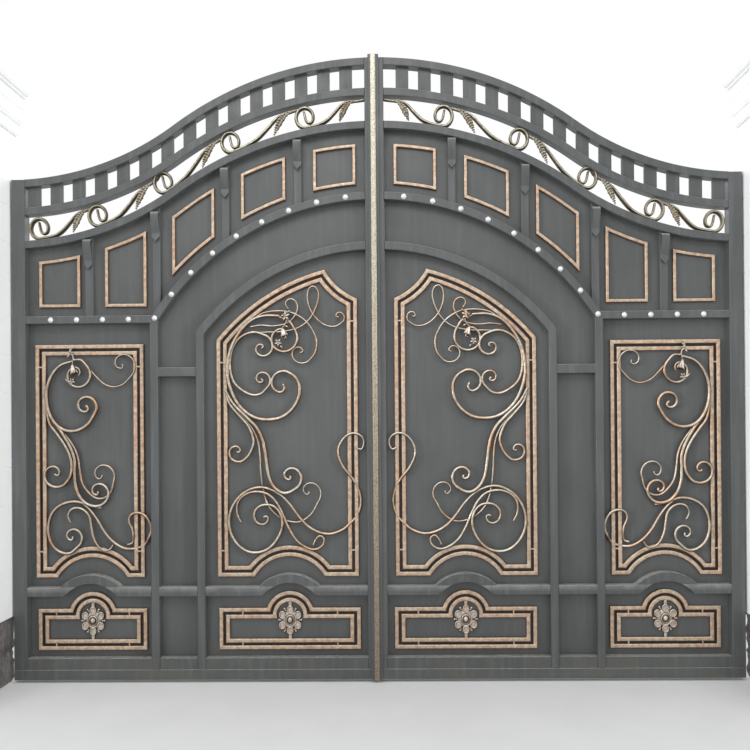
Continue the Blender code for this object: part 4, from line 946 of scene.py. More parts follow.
def bumped_rail(leaf, name, place, middle):
    """A level rail with a round hump over the rosette."""
    radius = segment_radius(BUMP_HALF, BUMP_RISE)
    inner = radius - (LOWER_RAIL_TOP - place.z_low)
    centre = (middle, LOWER_RAIL_TOP + BUMP_RISE - radius)
    spread = math.acos((place.z_low - centre[1]) / inner)
    outline = [(place.u_low, place.z_low), *arc(centre, inner, math.pi / 2 + spread, math.pi / 2 - spread, 30)]
    outline += [(place.u_high, place.z_low), (place.u_high, LOWER_RAIL_TOP)]
    spread = math.acos((LOWER_RAIL_TOP - centre[1]) / radius)
    outline += arc(centre, radius, math.pi / 2 - spread, math.pi / 2 + spread, 30)
    leaf.add(name, [slab(outline + [(place.u_low, LOWER_RAIL_TOP)], FRONT, INNER_BACK)], RAIL_PAINT)


# Trim frames. An outline function gives the outline that lies inside the outer edge by a distance.


def top_trim_outline(low, high, inside):
    """A small frame's outline. Its long edges follow the riveted rail and the crest rail."""
    low_margin, top_margin = TOP_TRIM_MARGINS
    places = spaced(low + inside, high - inside, 10)
    outline = []
    for u in places:
        lean = math.asin(u / RIVETED_RADIUS) if u < riveted_kink() else 0.0
        outline.append((u, riveted_height(u) + (low_margin + inside) / math.cos(lean)))
    for u in reversed(places):
        margin = (top_margin + inside) / math.cos(CREST_LINE.slope(u))
        outline.append((u, CREST_LINE.height(u, RAIL_WIDTH) - margin))
    return outline


def top_trims(leaf):
    for index in range(1, TOP_TRIM_COUNT + 1):
        place = span(f"right_top_trim_{index}")
        ring = ring_bar(partial(top_trim_outline, place.u_low, place.u_high), 0.0, TOP_TRIM_BAR, radius=0.0045)
        leaf.add(f"top_trim_{index}", [ring], COPPER, "copper_patina")


def double_ring(leaf, name, outline_at, studs, along_u=True):
    """Two frames, one inside the other, tied by studs at (u, z), and a near-black strip of painted shade on the sheet
    between them.
    """
    shapes = [ring_bar(outline_at, 0.0, TRIM_BAR), ring_bar(outline_at, TRIM_BAR + TRIM_GAP, TRIM_BAR)]
    halves = (TRIM_GAP / 2 + 0.003, 0.004)
    half_u, half_z = halves if along_u else halves[::-1]
    for u, z in studs:
        shapes.append(beam(u - half_u, u + half_u, TRIM_FRONT + 0.001, TRIM_BACK, z - half_z, z + half_z, 0.0015))
    leaf.add(name, shapes, COPPER, "copper_patina")
    # The dark strip on the sheet between the two frames is painted shade.
    painted_light_band = ring_bar(outline_at, TRIM_BAR - 0.006, TRIM_GAP + 0.012, TRIM_BACK - 0.0024, TRIM_BACK - 0.0004, 0.0008)
    leaf.add(f"{name}_wash", [painted_light_band], GAP_SHADE, "copper_patina", [])


def panel_foot(panel, centre, inside):
    """The bottom edge of a panel frame, from low u to high u, arched up in its middle."""
    half, rise = PANEL_ARCH
    level = panel.z_low + inside
    radius = segment_radius(half, rise)
    middle = (centre, panel.z_low + rise - radius)
    reach = math.sqrt((radius + inside) ** 2 - (level - middle[1]) ** 2)
    arch = arc_between(middle, (centre - reach, level), (centre + reach, level), 30)
    return [(panel.u_low + inside, level)] + arch + [(panel.u_high - inside, level)]


def side_outline(inside):
    head = SIDE_PANEL.z_high - inside
    foot = panel_foot(SIDE_PANEL, SIDE_CENTRE, inside)
    return foot + [(SIDE_PANEL.u_high - inside, head), (SIDE_PANEL.u_low + inside, head)]


def door_outline(inside):
    """The door panel's frame: its head follows the door arch, then falls in a hollow to the shoulder."""
    panel = DOOR_PANEL
    head = (0.0, ARCH_MIDDLE)
    shoulder = panel.z_high - PANEL_SHOULDER_DROP
    hollow, hollow_radius = bow_circle((PANEL_APEX_AT, panel.z_high), (panel.u_low, shoulder), PANEL_HOLLOW)
    head_radius = PANEL_RADIUS - inside
    hollow_radius += inside
    side = panel.u_high - inside
    spring = (side, ARCH_MIDDLE + math.sqrt(head_radius**2 - side**2))
    apex = crossing(head, head_radius, hollow, hollow_radius)
    edge = panel.u_low + inside
    end = (edge, hollow.y - math.sqrt(hollow_radius**2 - (edge - hollow.x) ** 2))
    outline = panel_foot(panel, DOOR_CENTRE, inside) + arc_between(head, spring, apex, 44)
    return outline + arc_between(hollow, apex, end, 18)[1:]


def panel_trims(leaf):
    """The double frames of the side panel and of the door panel."""
    door_spring = ARCH_MIDDLE + math.sqrt(PANEL_RADIUS**2 - DOOR_PANEL.u_high**2)
    for name, panel, outline_at, heads in (
        ("side_trim", SIDE_PANEL, side_outline, (SIDE_PANEL.z_high, SIDE_PANEL.z_high)),
        ("door_trim", DOOR_PANEL, door_outline, (DOOR_PANEL.z_high - PANEL_SHOULDER_DROP, door_spring)),
    ):
        studs = []
        for u, head in zip((panel.u_low + STUD_LINE, panel.u_high - STUD_LINE), heads):
            studs += [(u, panel.z_low + STUD_FROM_FOOT), (u, head - STUD_FROM_HEAD)]
        double_ring(leaf, name, outline_at, studs)


# Rosettes. Profiles are (radius, height over the sheet side of the trim) pairs.

PETAL_REACH = 0.0475
PETAL_RADIUS = 0.0155
PETAL_RIM = 0.0036
PETAL_WALL = (
    (PETAL_RADIUS - 0.001, 0.0125), (PETAL_RADIUS + 0.0025, 0.0125), (PETAL_RADIUS + 0.003, 0.006), (0.013, 0.0),
)
PETAL_DISH = ((0.0005, 0.0075), (0.006, 0.0080), (0.011, 0.0098), (PETAL_RADIUS, 0.0135), (PETAL_RADIUS, 0.002))
BEADS = ((0.0590, 0.0072), (0.0500, 0.0060))
HUB = (
    (0.044, 0.0), (0.044, 0.004), (0.037, 0.0105), (0.0325, 0.0120), (0.0275, 0.0095), (0.0255, 0.0095),
    (0.0240, 0.0130), (0.0200, 0.0150), (0.0178, 0.0120), (0.0168, 0.0070), (0.0100, 0.0070),
)
HUB_GROOVE = ((0.0178, 0.0072), (0.0140, 0.0074))
BOSS_RADIUS = 0.0148
TIE_HALF = 0.008


def cast(centre, profile, sides):
    """A turned part of the rosette, stretched in height as the rosette is."""
    return turned(centre, [(radius, TRIM_BACK - rise) for radius, rise in profile], sides, ROSETTE_STRETCH)


def rosette(centre):
    """A cast flower: six cupped petals with beads between them, a stepped hub and a boss, and its cups and hub groove,
    which take a darker finish as painted shade.
    """
    shapes = []
    cups = []
    for turn in [math.pi / 2 + math.pi / 3 * index for index in range(6)]:
        spot = polar(centre, PETAL_REACH, turn, ROSETTE_STRETCH)
        shapes += [cast(spot, PETAL_WALL, 24), torus(spot, PETAL_RADIUS, PETAL_RIM, TRIM_BACK - 0.0130, 24)]
        cups.append(cast(spot, PETAL_DISH, 24))
        for reach, radius in BEADS:
            shapes.append(ball(polar(centre, reach, turn + math.pi / 6, ROSETTE_STRETCH), radius, TRIM_BACK - 0.0055))
    shapes += [cast(centre, HUB, 36), torus(centre, 0.0300, 0.0030, TRIM_BACK - 0.0125)]
    boss = [(BOSS_RADIUS, TRIM_BACK - 0.006), *dome(BOSS_RADIUS, TRIM_BACK - 0.0115, 0.0125)]
    shapes.append(turned(centre, boss, 28, ROSETTE_STRETCH))
    return shapes, [*cups, cast(centre, HUB_GROOVE, 28)]


def rosette_panel(leaf, name, place, centre):
    low, high, bottom = place.u_low, place.u_high, place.z_low
    half, rise = ROSETTE_ARCH
    top = place.z_high - rise
    radius = segment_radius(half, rise)
    middle = (centre, place.z_high - radius)

    def outline(inside):
        level = top - inside
        spring = math.asin((level - middle[1]) / (radius - inside))
        arch = arc(middle, radius - inside, spring, math.pi - spring, 40)
        box = [(low + inside, bottom + inside), (high - inside, bottom + inside), (high - inside, level)]
        return box + arch + [(low + inside, level)]

    sixth = (high - low) / 6
    studs = [(u, z) for u in (low + sixth, high - sixth) for z in (bottom + STUD_LINE, top - STUD_LINE)]
    double_ring(leaf, name, outline, studs, along_u=False)
    flower, cups = rosette((centre, ROSETTE_AT))
    frame_in = 2 * TRIM_BAR + TRIM_GAP - 0.004
    petals_end = ROSETTE_STRETCH * (PETAL_REACH + PETAL_RADIUS)
    ties = ((bottom + frame_in, ROSETTE_AT - petals_end), (ROSETTE_AT + petals_end, place.z_high - frame_in))
    for tie in ties:
        sides = (centre - TIE_HALF, centre + TIE_HALF)
        flower.append(beam(*sides, TRIM_FRONT + 0.003, TRIM_BACK, *tie, 0.002))
    leaf.add(f"{name}_flower", flower, PEWTER, "copper_patina", [])
    leaf.add(f"{name}_cups", cups, PEWTER_PAINTED_SHADE, "copper_patina", [])


# Scrollwork. A scroll is its thickness, its guide points, the curls at its tail and head as (middle,
# sweep, end radius), and the places where it stands forward or back.

Scroll = namedtuple("Scroll", "thick guides tail head depths", defaults=(None, None, ()))


def mm(*row):
    """Points in metres from a row of u, z, u, z in millimetres."""
    return [(u / 1000, z / 1000) for u, z in zip(row[::2], row[1::2])]


SIDE_SCROLLS = (
    Scroll(0.0100, mm(
        1618, 1701, 1680, 1679, 1726, 1624, 1751, 1549, 1751, 1478, 1730, 1408, 1693, 1357, 1643, 1332,
        1584, 1335, 1530, 1369, 1495, 1424,
    ), tail=((1.545, 1.462), -300, 0.030)),
    Scroll(0.0075, mm(1622, 1702, 1572, 1710, 1535, 1673), tail=((1.587, 1.625), 275, 0.050)),
    Scroll(0.0046, mm(
        1539, 1677, 1485, 1615, 1443, 1578, 1393, 1564, 1343, 1580, 1306, 1618,
    ), tail=((1.352, 1.683), -300, 0.022)),
    Scroll(0.0085, mm(
        1759, 1466, 1739, 1374, 1705, 1325, 1664, 1267, 1634, 1209, 1622, 1151, 1628, 1093, 1659, 1047,
    ), tail=((1.712, 1.104), 300, 0.024)),
    Scroll(0.0095, mm(
        1755, 1474, 1714, 1383, 1668, 1317, 1626, 1243, 1605, 1176, 1605, 1110, 1601, 1043, 1580, 985,
        1543, 944, 1501, 930,
    ), tail=((1.485, 1.005), -330, 0.018)),
    Scroll(0.0065, mm(
        1680, 1342, 1618, 1259, 1589, 1193, 1580, 1127, 1568, 1060, 1539, 1011, 1493, 973, 1446, 976,
        1412, 1010, 1399, 1060,
    ), tail=((1.463, 1.096), -225, 0.032), depths=((1.443, 0.975, -0.004, 0.06),)),
    Scroll(0.0085, mm(
        1470, 922, 1510, 926, 1559, 946, 1609, 956, 1668, 944, 1718, 908, 1744, 850, 1747, 783,
        1726, 725, 1684, 688, 1634, 682, 1593, 714,
    ), tail=((1.622, 0.768), -290, 0.020)),
    Scroll(0.0070, mm(
        1630, 845, 1644, 876, 1630, 910, 1597, 923, 1559, 911, 1530, 878, 1520, 828, 1510, 770,
        1485, 720, 1451, 696, 1422, 700, 1407, 721,
    )),
    Scroll(0.0080, mm(
        1564, 944, 1526, 911, 1485, 857, 1443, 787, 1393, 734, 1335, 704, 1276, 705, 1231, 732, 1201, 791,
        1206, 841, 1235, 882, 1276, 895, 1310, 881, 1318, 847, 1301, 806, 1297, 764, 1306, 731, 1326, 726,
    ), depths=((1.262, 0.712, -0.0170, 0.055),)),
)

DOOR_SCROLLS = (
    Scroll(0.0100, mm(
        514, 1933, 583, 1935, 647, 1917, 704, 1870, 751, 1800, 777, 1730, 788, 1643, 777, 1568, 745, 1488,
        699, 1431, 641, 1394, 572, 1383, 502, 1396, 444, 1440, 410, 1504, 407, 1568, 433, 1613, 476, 1639,
    ), tail=((0.498, 1.570), -165, 0.046)),
    Scroll(0.0080, mm(
        595, 1834, 635, 1847, 681, 1841, 728, 1812, 759, 1765, 774, 1701, 771, 1638, 751, 1580, 710, 1540,
        658, 1515, 612, 1521, 577, 1554,
    ), tail=((0.608, 1.597), -330, 0.015), head=((0.605, 1.765), 360, 0.015)),
    Scroll(0.0075, mm(508, 1927, 456, 1902, 430, 1862), tail=((0.492, 1.812), 285, 0.055)),
    Scroll(0.0052, mm(
        652, 1917, 606, 1946, 554, 1958, 491, 1959, 433, 1946, 375, 1909, 335, 1857, 314, 1800, 323, 1736,
        358, 1692,
    ), tail=((0.402, 1.740), 255, 0.020)),
    Scroll(0.0050, mm(
        664, 1878, 608, 1885, 547, 1880, 487, 1889, 448, 1910, 422, 1946, 413, 1981, 424, 2011, 450, 2024,
        472, 2013, 477, 1995, 464, 1972,
    )),
    Scroll(0.0050, mm(
        652, 1844, 583, 1848, 502, 1850, 427, 1864, 375, 1892, 335, 1938, 306, 2008, 303, 2060, 326, 2089,
        352, 2077, 361, 2030, 346, 1967, 312, 1916, 265, 1882, 213, 1876, 173, 1900,
    ), tail=((0.198, 1.928), -215, 0.012)),
    Scroll(0.0080, mm(
        800, 1537, 777, 1468, 716, 1394, 681, 1354, 658, 1302, 652, 1256, 676, 1198, 710, 1165,
    ), tail=((0.740, 1.215), 260, 0.020)),
    Scroll(0.0100, mm(
        797, 1537, 757, 1468, 684, 1394, 635, 1343, 606, 1285, 592, 1222, 583, 1153, 572, 1084, 548, 1032,
        508, 998, 468, 996, 421, 1022,
    ), tail=((0.460, 1.080), -290, 0.018)),
    Scroll(0.0055, mm(
        733, 1428, 704, 1394, 658, 1337, 629, 1268, 619, 1193, 615, 1106, 606, 1025, 592, 962, 560, 905,
        508, 859, 450, 840, 398, 846, 346, 885, 314, 943,
    ), tail=((0.362, 1.000), -260, 0.020), depths=((0.600, 0.990, -0.009, 0.05), (0.490, 0.850, -0.008, 0.06))),
    Scroll(0.0085, mm(
        491, 995, 537, 1003, 583, 1020, 629, 1025, 681, 1010, 733, 972, 771, 913, 785, 844, 774, 780,
        739, 723, 687, 686, 624, 681, 566, 708, 520, 767, 502, 830, 514, 888, 548, 925, 589, 933,
    ), tail=((0.600, 0.865), -250, 0.025)),
    Scroll(0.0075, mm(
        722, 842, 742, 885, 739, 943, 704, 984, 647, 1002, 583, 991, 537, 951, 502, 888, 473, 819,
        433, 750, 381, 708, 329, 694, 288, 718, 283, 753, 306, 767, 326, 746, 338, 720,
    )),
    Scroll(0.0080, mm(
        583, 1020, 514, 986, 462, 935, 416, 872, 369, 821, 312, 787, 248, 776, 184, 797, 144, 830,
        115, 859, 92, 905, 86, 963, 104, 1027, 132, 1072, 173, 1124, 202, 1187, 199, 1239, 167, 1289,
        121, 1309, 80, 1293, 66, 1258, 80, 1223, 101, 1229,
    ), depths=((0.100, 0.935, -0.0170, 0.165),)),
)


def scroll_bar(scroll):
    path = smooth(scroll.guides)
    if scroll.tail:
        path += curl(path[-1], *scroll.tail)
    if scroll.head:
        path = curl(path[0], *scroll.head)[::-1] + path
    return forged(path, scroll.thick, max(0.0044, scroll.thick * 0.74), TRIM_FRONT, scroll.depths)


# Flower heads, in front of the scrolls.

LOBE = ((0.0, 0.35), (0.15, 0.75), (0.40, 1.0), (0.68, 0.85), (0.88, 0.50), (1.0, 0.12))
BELL = ((0.0, 0.28), (0.10, 0.46), (0.30, 0.66), (0.60, 0.88), (0.88, 1.0), (1.0, 0.86))
FLOWER_Y = TRIM_FRONT - 0.011


def lobe(base, way, length, radius):
    return pod(base, way, [(share * length, size * radius) for share, size in LOBE], sides=12)


def blossom(middle, size, start):
    """A forged flower head: petals folded round a core, in two whorls."""
    heart = Vector((middle[0], FLOWER_Y, middle[1]))
    shapes = [lobe(heart + Vector((0.0, 0.006, 0.0)), (0.1, -1.0, 0.1), 0.75 * size, 0.42 * size)]
    for count, lean, length, radius, shift in ((5, 0.30, 0.95, 0.33, 0.0), (3, 1.1, 0.85, 0.25, 0.6)):
        for index in range(count):
            angle = start + shift + 2 * math.pi * index / count
            shapes.append(lobe(heart, (math.cos(angle), -lean, 1.1 * math.sin(angle)), length * size, radius * size))
    return shapes


def bell(top, foot, radius):
    """A half open bud: a lobed bell with petal tips round its mouth."""
    start = Vector((top[0], FLOWER_Y, top[1]))
    way = Vector((foot[0] - top[0], -0.006, foot[1] - top[1]))
    length = way.length
    shapes = [pod(start, way, [(share * length, size * radius) for share, size in BELL], 5, 0.14, 30.0, 24)]
    ahead = way.normalized()
    across = ahead.cross(Vector((0.0, 1.0, 0.0))).normalized()
    forward = ahead.cross(across)
    for angle in circle(6):
        side = across * math.cos(angle) + forward * math.sin(angle)
        tip_from = start + way * 0.55 + side * radius * 0.5
        shapes.append(lobe(tip_from, ahead + side * 0.45, length * 0.55, radius * 0.34))
    return shapes


def small_leaf(root, tip, radius=0.0055):
    way = Vector((tip[0] - root[0], -0.004, tip[1] - root[1]))
    return lobe(Vector((root[0], FLOWER_Y, root[1])), way, way.length, radius)


# A sprig is its stalk's points, its upper blossom, its leaves, its bud, and its lower blossom and leaf.
Sprig = namedtuple("Sprig", "stalk upper leaves bud lower last_leaf")
SIDE_SPRIG = Sprig(
    ((1.6245, 1.774), (1.627, 1.758), (1.620, 1.742), (1.609, 1.728), (1.610, 1.704), (1.616, 1.680)),
    ((1.622, 1.746), 0.0155, 0.4),
    (((1.626, 1.758), (1.612, 1.770)), ((1.628, 1.738), (1.640, 1.722)), ((1.611, 1.712), (1.592, 1.708))),
    ((1.615, 1.683), (1.602, 1.637), 0.0175),
    ((1.616, 1.596), 0.0195, 1.0),
    ((1.634, 1.590), (1.652, 1.610), 0.0050),
)
DOOR_SPRIG = Sprig(
    ((0.470, 1.958), (0.476, 1.935), (0.472, 1.905), (0.484, 1.882), (0.500, 1.864)),
    ((0.4765, 1.930), 0.0270, 0.2),
    (((0.470, 1.948), (0.452, 1.962)), ((0.480, 1.880), (0.462, 1.874)), ((0.482, 1.838), (0.473, 1.812))),
    ((0.497, 1.866), (0.482, 1.826), 0.0170),
    ((0.517, 1.791), 0.0225, 0.9),
    ((0.506, 1.776), (0.494, 1.762), 0.0060),
)


def panel_scrolls(leaf, name, scrolls, sprig):
    leaf.add(name, [scroll_bar(scroll) for scroll in scrolls], BRONZE, "bronze_patina")
    shapes = [forged(smooth(sprig.stalk), 0.0042, 0.0028, TRIM_FRONT - 0.008, sides=10), *blossom(*sprig.upper)]
    shapes += [small_leaf(root, tip) for root, tip in sprig.leaves]
    shapes += [*bell(*sprig.bud), *blossom(*sprig.lower), small_leaf(*sprig.last_leaf)]
    leaf.add(f"{name}_flowers", shapes, PEWTER, "copper_patina", [])


# Running scrolls between the crest rail and the picket rail. Stem and leaf are (share of the way to
# the next curl, share of the band's height), and the hook is drawn in half sizes of the curl's oval.

CREST_CURLS_AT = [share * OUTER.u_high for share in (0.191, 0.397, 0.584, 0.766, 0.928)]
CREST_OVAL = (0.046, 0.053)
CREST_THICK = 0.0098
CREST_DEEP = 1.8
CREST_HOOK = ((-0.98, -0.02), (-0.84, -0.36), (-0.45, -0.50), (-0.14, -0.24), (0.0, 0.20), (0.10, 0.62))
CREST_HOOK_FROM = math.radians(170)
CREST_NEXT_STEM = math.radians(25)
CREST_STEM = ((0.11, 0.94), (0.26, 0.94), (0.38, 0.80), (0.50, 0.47), (0.63, 0.16), (0.77, 0.03))
CREST_LEAF = ((0.13, 0.90), (0.22, 0.86), (0.30, 0.68), (0.36, 0.38), (0.41, 0.02))


def crest_point(u, share):
    """A place in the band between the crest rail and the picket rail."""
    low = CREST_LINE.height(u) + CREST_THICK
    high = PICKET_LINE.height(u, RAIL_WIDTH) - CREST_THICK
    return Vector((u, low + (high - low) * share))


def crest_unit(u_curl, u_start, start):
    """The stem and curl of one running scroll, its leaf, and where the next stem starts."""
    lean = CREST_LINE.slope(u_curl)
    wide, tall = CREST_OVAL
    reach_down = math.hypot(wide * math.sin(lean), tall * math.cos(lean))
    centre = Vector((u_curl, CREST_LINE.height(u_curl, -reach_down - CREST_THICK)))

    def on_oval(spot):
        return centre + Vector((wide * spot[0], tall * spot[1]))

    def along_band(places):
        return [crest_point(u_start + along * (u_curl - u_start), share) for along, share in places]

    angle = math.atan2(-tall * math.cos(lean), -wide * math.sin(lean))
    ring = [on_oval(spot) for spot in arc((0.0, 0.0), 1.0, angle, CREST_HOOK_FROM, 34)]
    hook = smooth([on_oval(spot) for spot in CREST_HOOK])
    path = smooth([start, *along_band(CREST_STEM), ring[0]]) + ring[1:] + hook[1:]
    scroll = forged(path, CREST_THICK, 0.0068, CREST_THICK * CREST_DEEP, head=0.35, tail=0.30, deep=CREST_DEEP)
    blade = along_band(CREST_LEAF)
    leaves = acanthus(smooth(blade, 12), 0.0180, -0.012, 12)
    leaves.append(forged(smooth([start, *blade[:2]], 10), 0.0045, 0.0035, 0.004, sides=8))
    return scroll, leaves, on_oval((math.sin(CREST_NEXT_STEM), math.cos(CREST_NEXT_STEM)))


def crest_scrolls(leaf):
    scrolls = []
    leaves = []
    u_start = MEETING.u_high + 0.004
    start = crest_point(u_start, 0.97)
    for u in CREST_CURLS_AT:
        scroll, blades, start = crest_unit(u, u_start, start)
        scrolls.append(scroll)
        leaves += blades
        u_start = u
    leaf.add("crest_scrolls", scrolls, CREST_BRONZE, "bronze_patina")
    leaf.add("crest_leaves", leaves, LEAF_BRONZE, "bronze_patina", [])


# The cover strip, the hinge posts and the piers.

BAR_CROWN = ((-1.0, 0.0), (-1.0, 0.35), (-0.92, 0.62), (-0.72, 0.86), (-0.38, 0.97), (0.0, 1.0))


def cover_strip(leaf):
    """The stepped flat over the meeting stiles, and the hammered bar on it."""
    place = span("left_cover_strip")
    heights = (place.z_low, place.z_high)
    flat = beam(place.u_low, place.u_high, place.y_low, place.y_low + 0.005, *heights, 0.0012)
    packer = beam(place.u_low, -MEETING.u_low - 0.002, place.y_low + 0.002, place.y_high, *heights, 0.001)
    piece("left_cover_strip_made", [flat, packer], FRAME_PAINT, 1, leaf.body, ["left_cover_strip"])
    bar = span("left_cover_bar")
    middle = (bar.u_low + bar.u_high) / 2
    half = (bar.u_high - bar.u_low) / 2
    section = [*BAR_CROWN, *[(-across, forward) for across, forward in BAR_CROWN[-2::-1]]]
    rings = []
    for z in spaced(bar.z_low, bar.z_high, round((bar.z_high - bar.z_low) / 0.006)):
        ring = []
        for across, forward in section:
            u = middle + across * half * 0.97
            y = bar.y_high - forward * (bar.y_high - bar.y_low) * 0.94
            dent = noise.noise(Vector((u * 70, z * 70, 3.0))) * 0.0016 * (0.3 + 0.7 * forward)
            edge = noise.noise(Vector((across * 3, z * 55, 9.0))) * 0.0006
            ring.append((u + edge, y + max(-0.0006, dent), z))
        rings.append(ring)
    piece("left_cover_bar_made", [loft(rings)], GOLD, 1, leaf.body, ["left_cover_bar"], soften=60)


BOLT_SHARES = (0.06, 0.35, 0.64, 0.94)
BOLT_FACE = 0.0103
BOLT_INSET = 0.056


def hinge_bolts(title, side):
    """Anchor bolts through the hinge post into the pier."""
    post = span(f"{title}_hinge_post")
    shaft = span(f"{title}_pier_shaft")
    face = shaft.y_high + BOLT_FACE
    u = min(abs(shaft.u_low), abs(shaft.u_high)) + BOLT_INSET
    washer = [(0.013, face - 0.0005), (0.013, face + 0.002), (0.009, face + 0.0025)]
    head = [(0.0085, face + 0.002), (0.0085, face + 0.0075), (0.0070, face + 0.0085)]
    shapes = []
    for z in [post.z_low + (post.z_high - post.z_low) * share for share in BOLT_SHARES]:
        shapes += [turned((u, z), washer, 24), turned((u, z), head, 6)]
    piece(f"{title}_hinge_bolts", shapes, FRAME_PAINT, side, "piers")


def level_ring(low, high, z):
    """The corners of a plan rectangle, at a height."""
    return [(low[0], low[1], z), (high[0], low[1], z), (high[0], high[1], z), (low[0], high[1], z)]


def stack(profile, half):
    """A square mass whose sides follow (reach, height) steps outside the half size."""
    return loft([level_ring([-half - reach] * 2, [half + reach] * 2, z) for reach, z in profile])


def stone_block(low, high, z_low, z_high, chamfer):
    """A squared stone with bevelled edges, between two plan corners."""
    rings = []
    for edge, z in ((chamfer, z_low), (0.0, z_low + chamfer), (0.0, z_high - chamfer), (chamfer, z_high)):
        rings.append(level_ring([place + edge for place in low], [place - edge for place in high], z))
    return loft(rings)


COURSES = 13
JOINT = 0.0025
JOINT_SHARE = 0.24
SPLIT_DEPTH = 0.006
SPLIT_SHRINK = 0.005
SPLIT_EDGE = 0.007
PLINTH_JOINT_SHARE = 0.47


def shaft_stones(half, z_low, z_high):
    """Courses of smooth cladding, jointed in turn on the front and on the sides."""
    shapes = []
    rise = (z_high - z_low) / COURSES
    for course in range(COURSES):
        low = z_low + course * rise
        joint = half * (JOINT_SHARE if course % 4 < 2 else -JOINT_SHARE)
        if course % 2:
            cuts = (((-half, -half), (joint, half)), ((joint, -half), (half, half)))
        else:
            cuts = (((-half, -half), (half, joint)), ((-half, joint), (half, half)))
        shapes += [stone_block(a, b, low, low + rise, JOINT) for a, b in cuts]
    return shapes


def rough_stone(half, z_low, z_high, seed):
    """A split-faced stone course. Its base and its top stay level."""
    rings = []
    for z in spaced(z_low, z_high, 9):
        sunk = SPLIT_EDGE if z in (z_low, z_high) else 0.0
        ring = []
        for side_index in range(4):
            for t in spaced(-1, 1, 26)[:-1]:
                corner = ((t, -1), (1, t), (-t, 1), (-1, -t))[side_index]
                rough = noise.fractal(Vector((corner[0] * 6 + seed, corner[1] * 6, z * 24)), 0.9, 2.1, 5) * SPLIT_DEPTH
                size = half - SPLIT_SHRINK + rough - sunk
                ring.append((corner[0] * size, corner[1] * size, z))
        rings.append(ring)
    return loft(rings)


CAP_HEIGHT = 0.05


def moulding(z_low, z_high, reach):
    """The cornice's profile: double fillet, cove, half round, soffit with a tall fascia, crown and low cap."""

    def at(out, up):
        return out * reach, z_low + up * (z_high - z_low)

    steps = [at(0.0, 0.0), at(0.10, 0.0), at(0.10, 0.03), at(0.18, 0.03), at(0.18, 0.07)]
    for angle in spaced(0.0, math.pi / 2, 13)[1:-1]:
        steps.append(at(0.18 + 0.18 * (1 - math.cos(angle)), 0.07 + 0.18 * math.sin(angle)))
    steps += [at(0.40, 0.26), at(0.40, 0.29)]
    for angle in spaced(0.0, math.pi, 14)[1:-1]:
        steps.append(at(0.38 + 0.16 * math.sin(angle), 0.435 - 0.145 * math.cos(angle)))
    steps += [at(0.46, 0.58), at(0.54, 0.61), at(0.54, 0.83), at(0.72, 0.83), at(0.72, 0.87)]
    for angle in spaced(0.0, math.pi / 2, 8)[1:]:
        steps.append(at(0.74 + 0.22 * math.sin(angle), 0.88 + 0.07 * (1 - math.cos(angle))))
    return steps + [at(1.0, 0.96), at(1.0, 1.0), (0.25 * reach, z_high + CAP_HEIGHT)]


def pier(title):
    centre = middle_of(f"{title}_pier_shaft")

    def masonry(name, shapes, finish, part, soften):
        node = f"{title}_pier_{part}"
        piece(f"{title}_{name}", shapes, finish, 1, "piers", [node], soften, (centre.x, centre.y))

    low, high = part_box(f"{title}_pier_shaft")
    half = (high.x - low.x) / 2
    masonry("shaft_stones", shaft_stones(half, low.z, high.z), CLADDING, "shaft", 20)
    low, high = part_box(f"{title}_pier_plinth")
    joint = low.z + PLINTH_JOINT_SHARE * (high.z - low.z)
    stone_half = (high.x - low.x) / 2
    courses = [rough_stone(stone_half, low.z, joint, 1.7), rough_stone(stone_half, joint, high.z, 8.3)]
    masonry("plinth_stones", courses, STONE, "plinth", 30)
    low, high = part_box(f"{title}_pier_cornice")
    profile = moulding(low.z, high.z - CAP_HEIGHT, (high.x - low.x) / 2 - half)
    masonry("cornice_made", [stack(profile, half)], CLADDING, "cornice", 32)


def build_leaf(title, side):
    leaf = Leaf(title, side)
    for make in (stiles, bottom_rail, curved_rails, riveted_rail, rivets, mullion, door_arch):
        make(leaf)
    bumped_rail(leaf, "side_lower_rail", SIDE_RAIL, SIDE_CENTRE)
    bumped_rail(leaf, "door_lower_rail", DOOR_RAIL, DOOR_CENTRE)
    top_trims(leaf)
    panel_trims(leaf)
    rosette_panel(leaf, "side_rosette_trim", SIDE_BOX, SIDE_CENTRE)
    rosette_panel(leaf, "door_rosette_trim", DOOR_BOX, DOOR_CENTRE)
    panel_scrolls(leaf, "side_scrolls", SIDE_SCROLLS, SIDE_SPRIG)
    panel_scrolls(leaf, "door_scrolls", DOOR_SCROLLS, DOOR_SPRIG)
    crest_scrolls(leaf)
    refinished(f"{title}_sheet", SHEET_PAINT)
    return leaf


# The stage, the light and the camera.

FLOOR_HALF = 60.0
KEY_WATTS = 54.0
SPOT_WATTS = 780.0
SPOT_CONE = math.radians(30)
OVERHEAD_WATTS = 15.0
REAR_WATTS = 60.0
SKY_STRENGTH = 0.88
CAMERA_AT = (2.3092, -3.9305, 1.3732)
CAMERA_LENS = 37.52
CAMERA_SHIFT = (-0.0201, 0.0584)
CAMERA_YAW = math.radians(0.716)
CAMERA_PITCH = math.radians(0.145)
CAMERA_ROLL = math.radians(-0.445)


def seen_rays(tree):
    """1 for the rays that see the plain white background: from the camera, off gloss and through glass."""
    rays = tree.nodes.new("ShaderNodeLightPath")
    seen = rays.outputs["Is Camera Ray"]
    for name in ("Is Glossy Ray", "Is Transmission Ray"):
        either = tree.nodes.new("ShaderNodeMath")
        either.operation = "MAXIMUM"
        tree.links.new(seen, either.inputs[0])
        tree.links.new(rays.outputs[name], either.inputs[1])
        seen = either.outputs[0]
    return seen


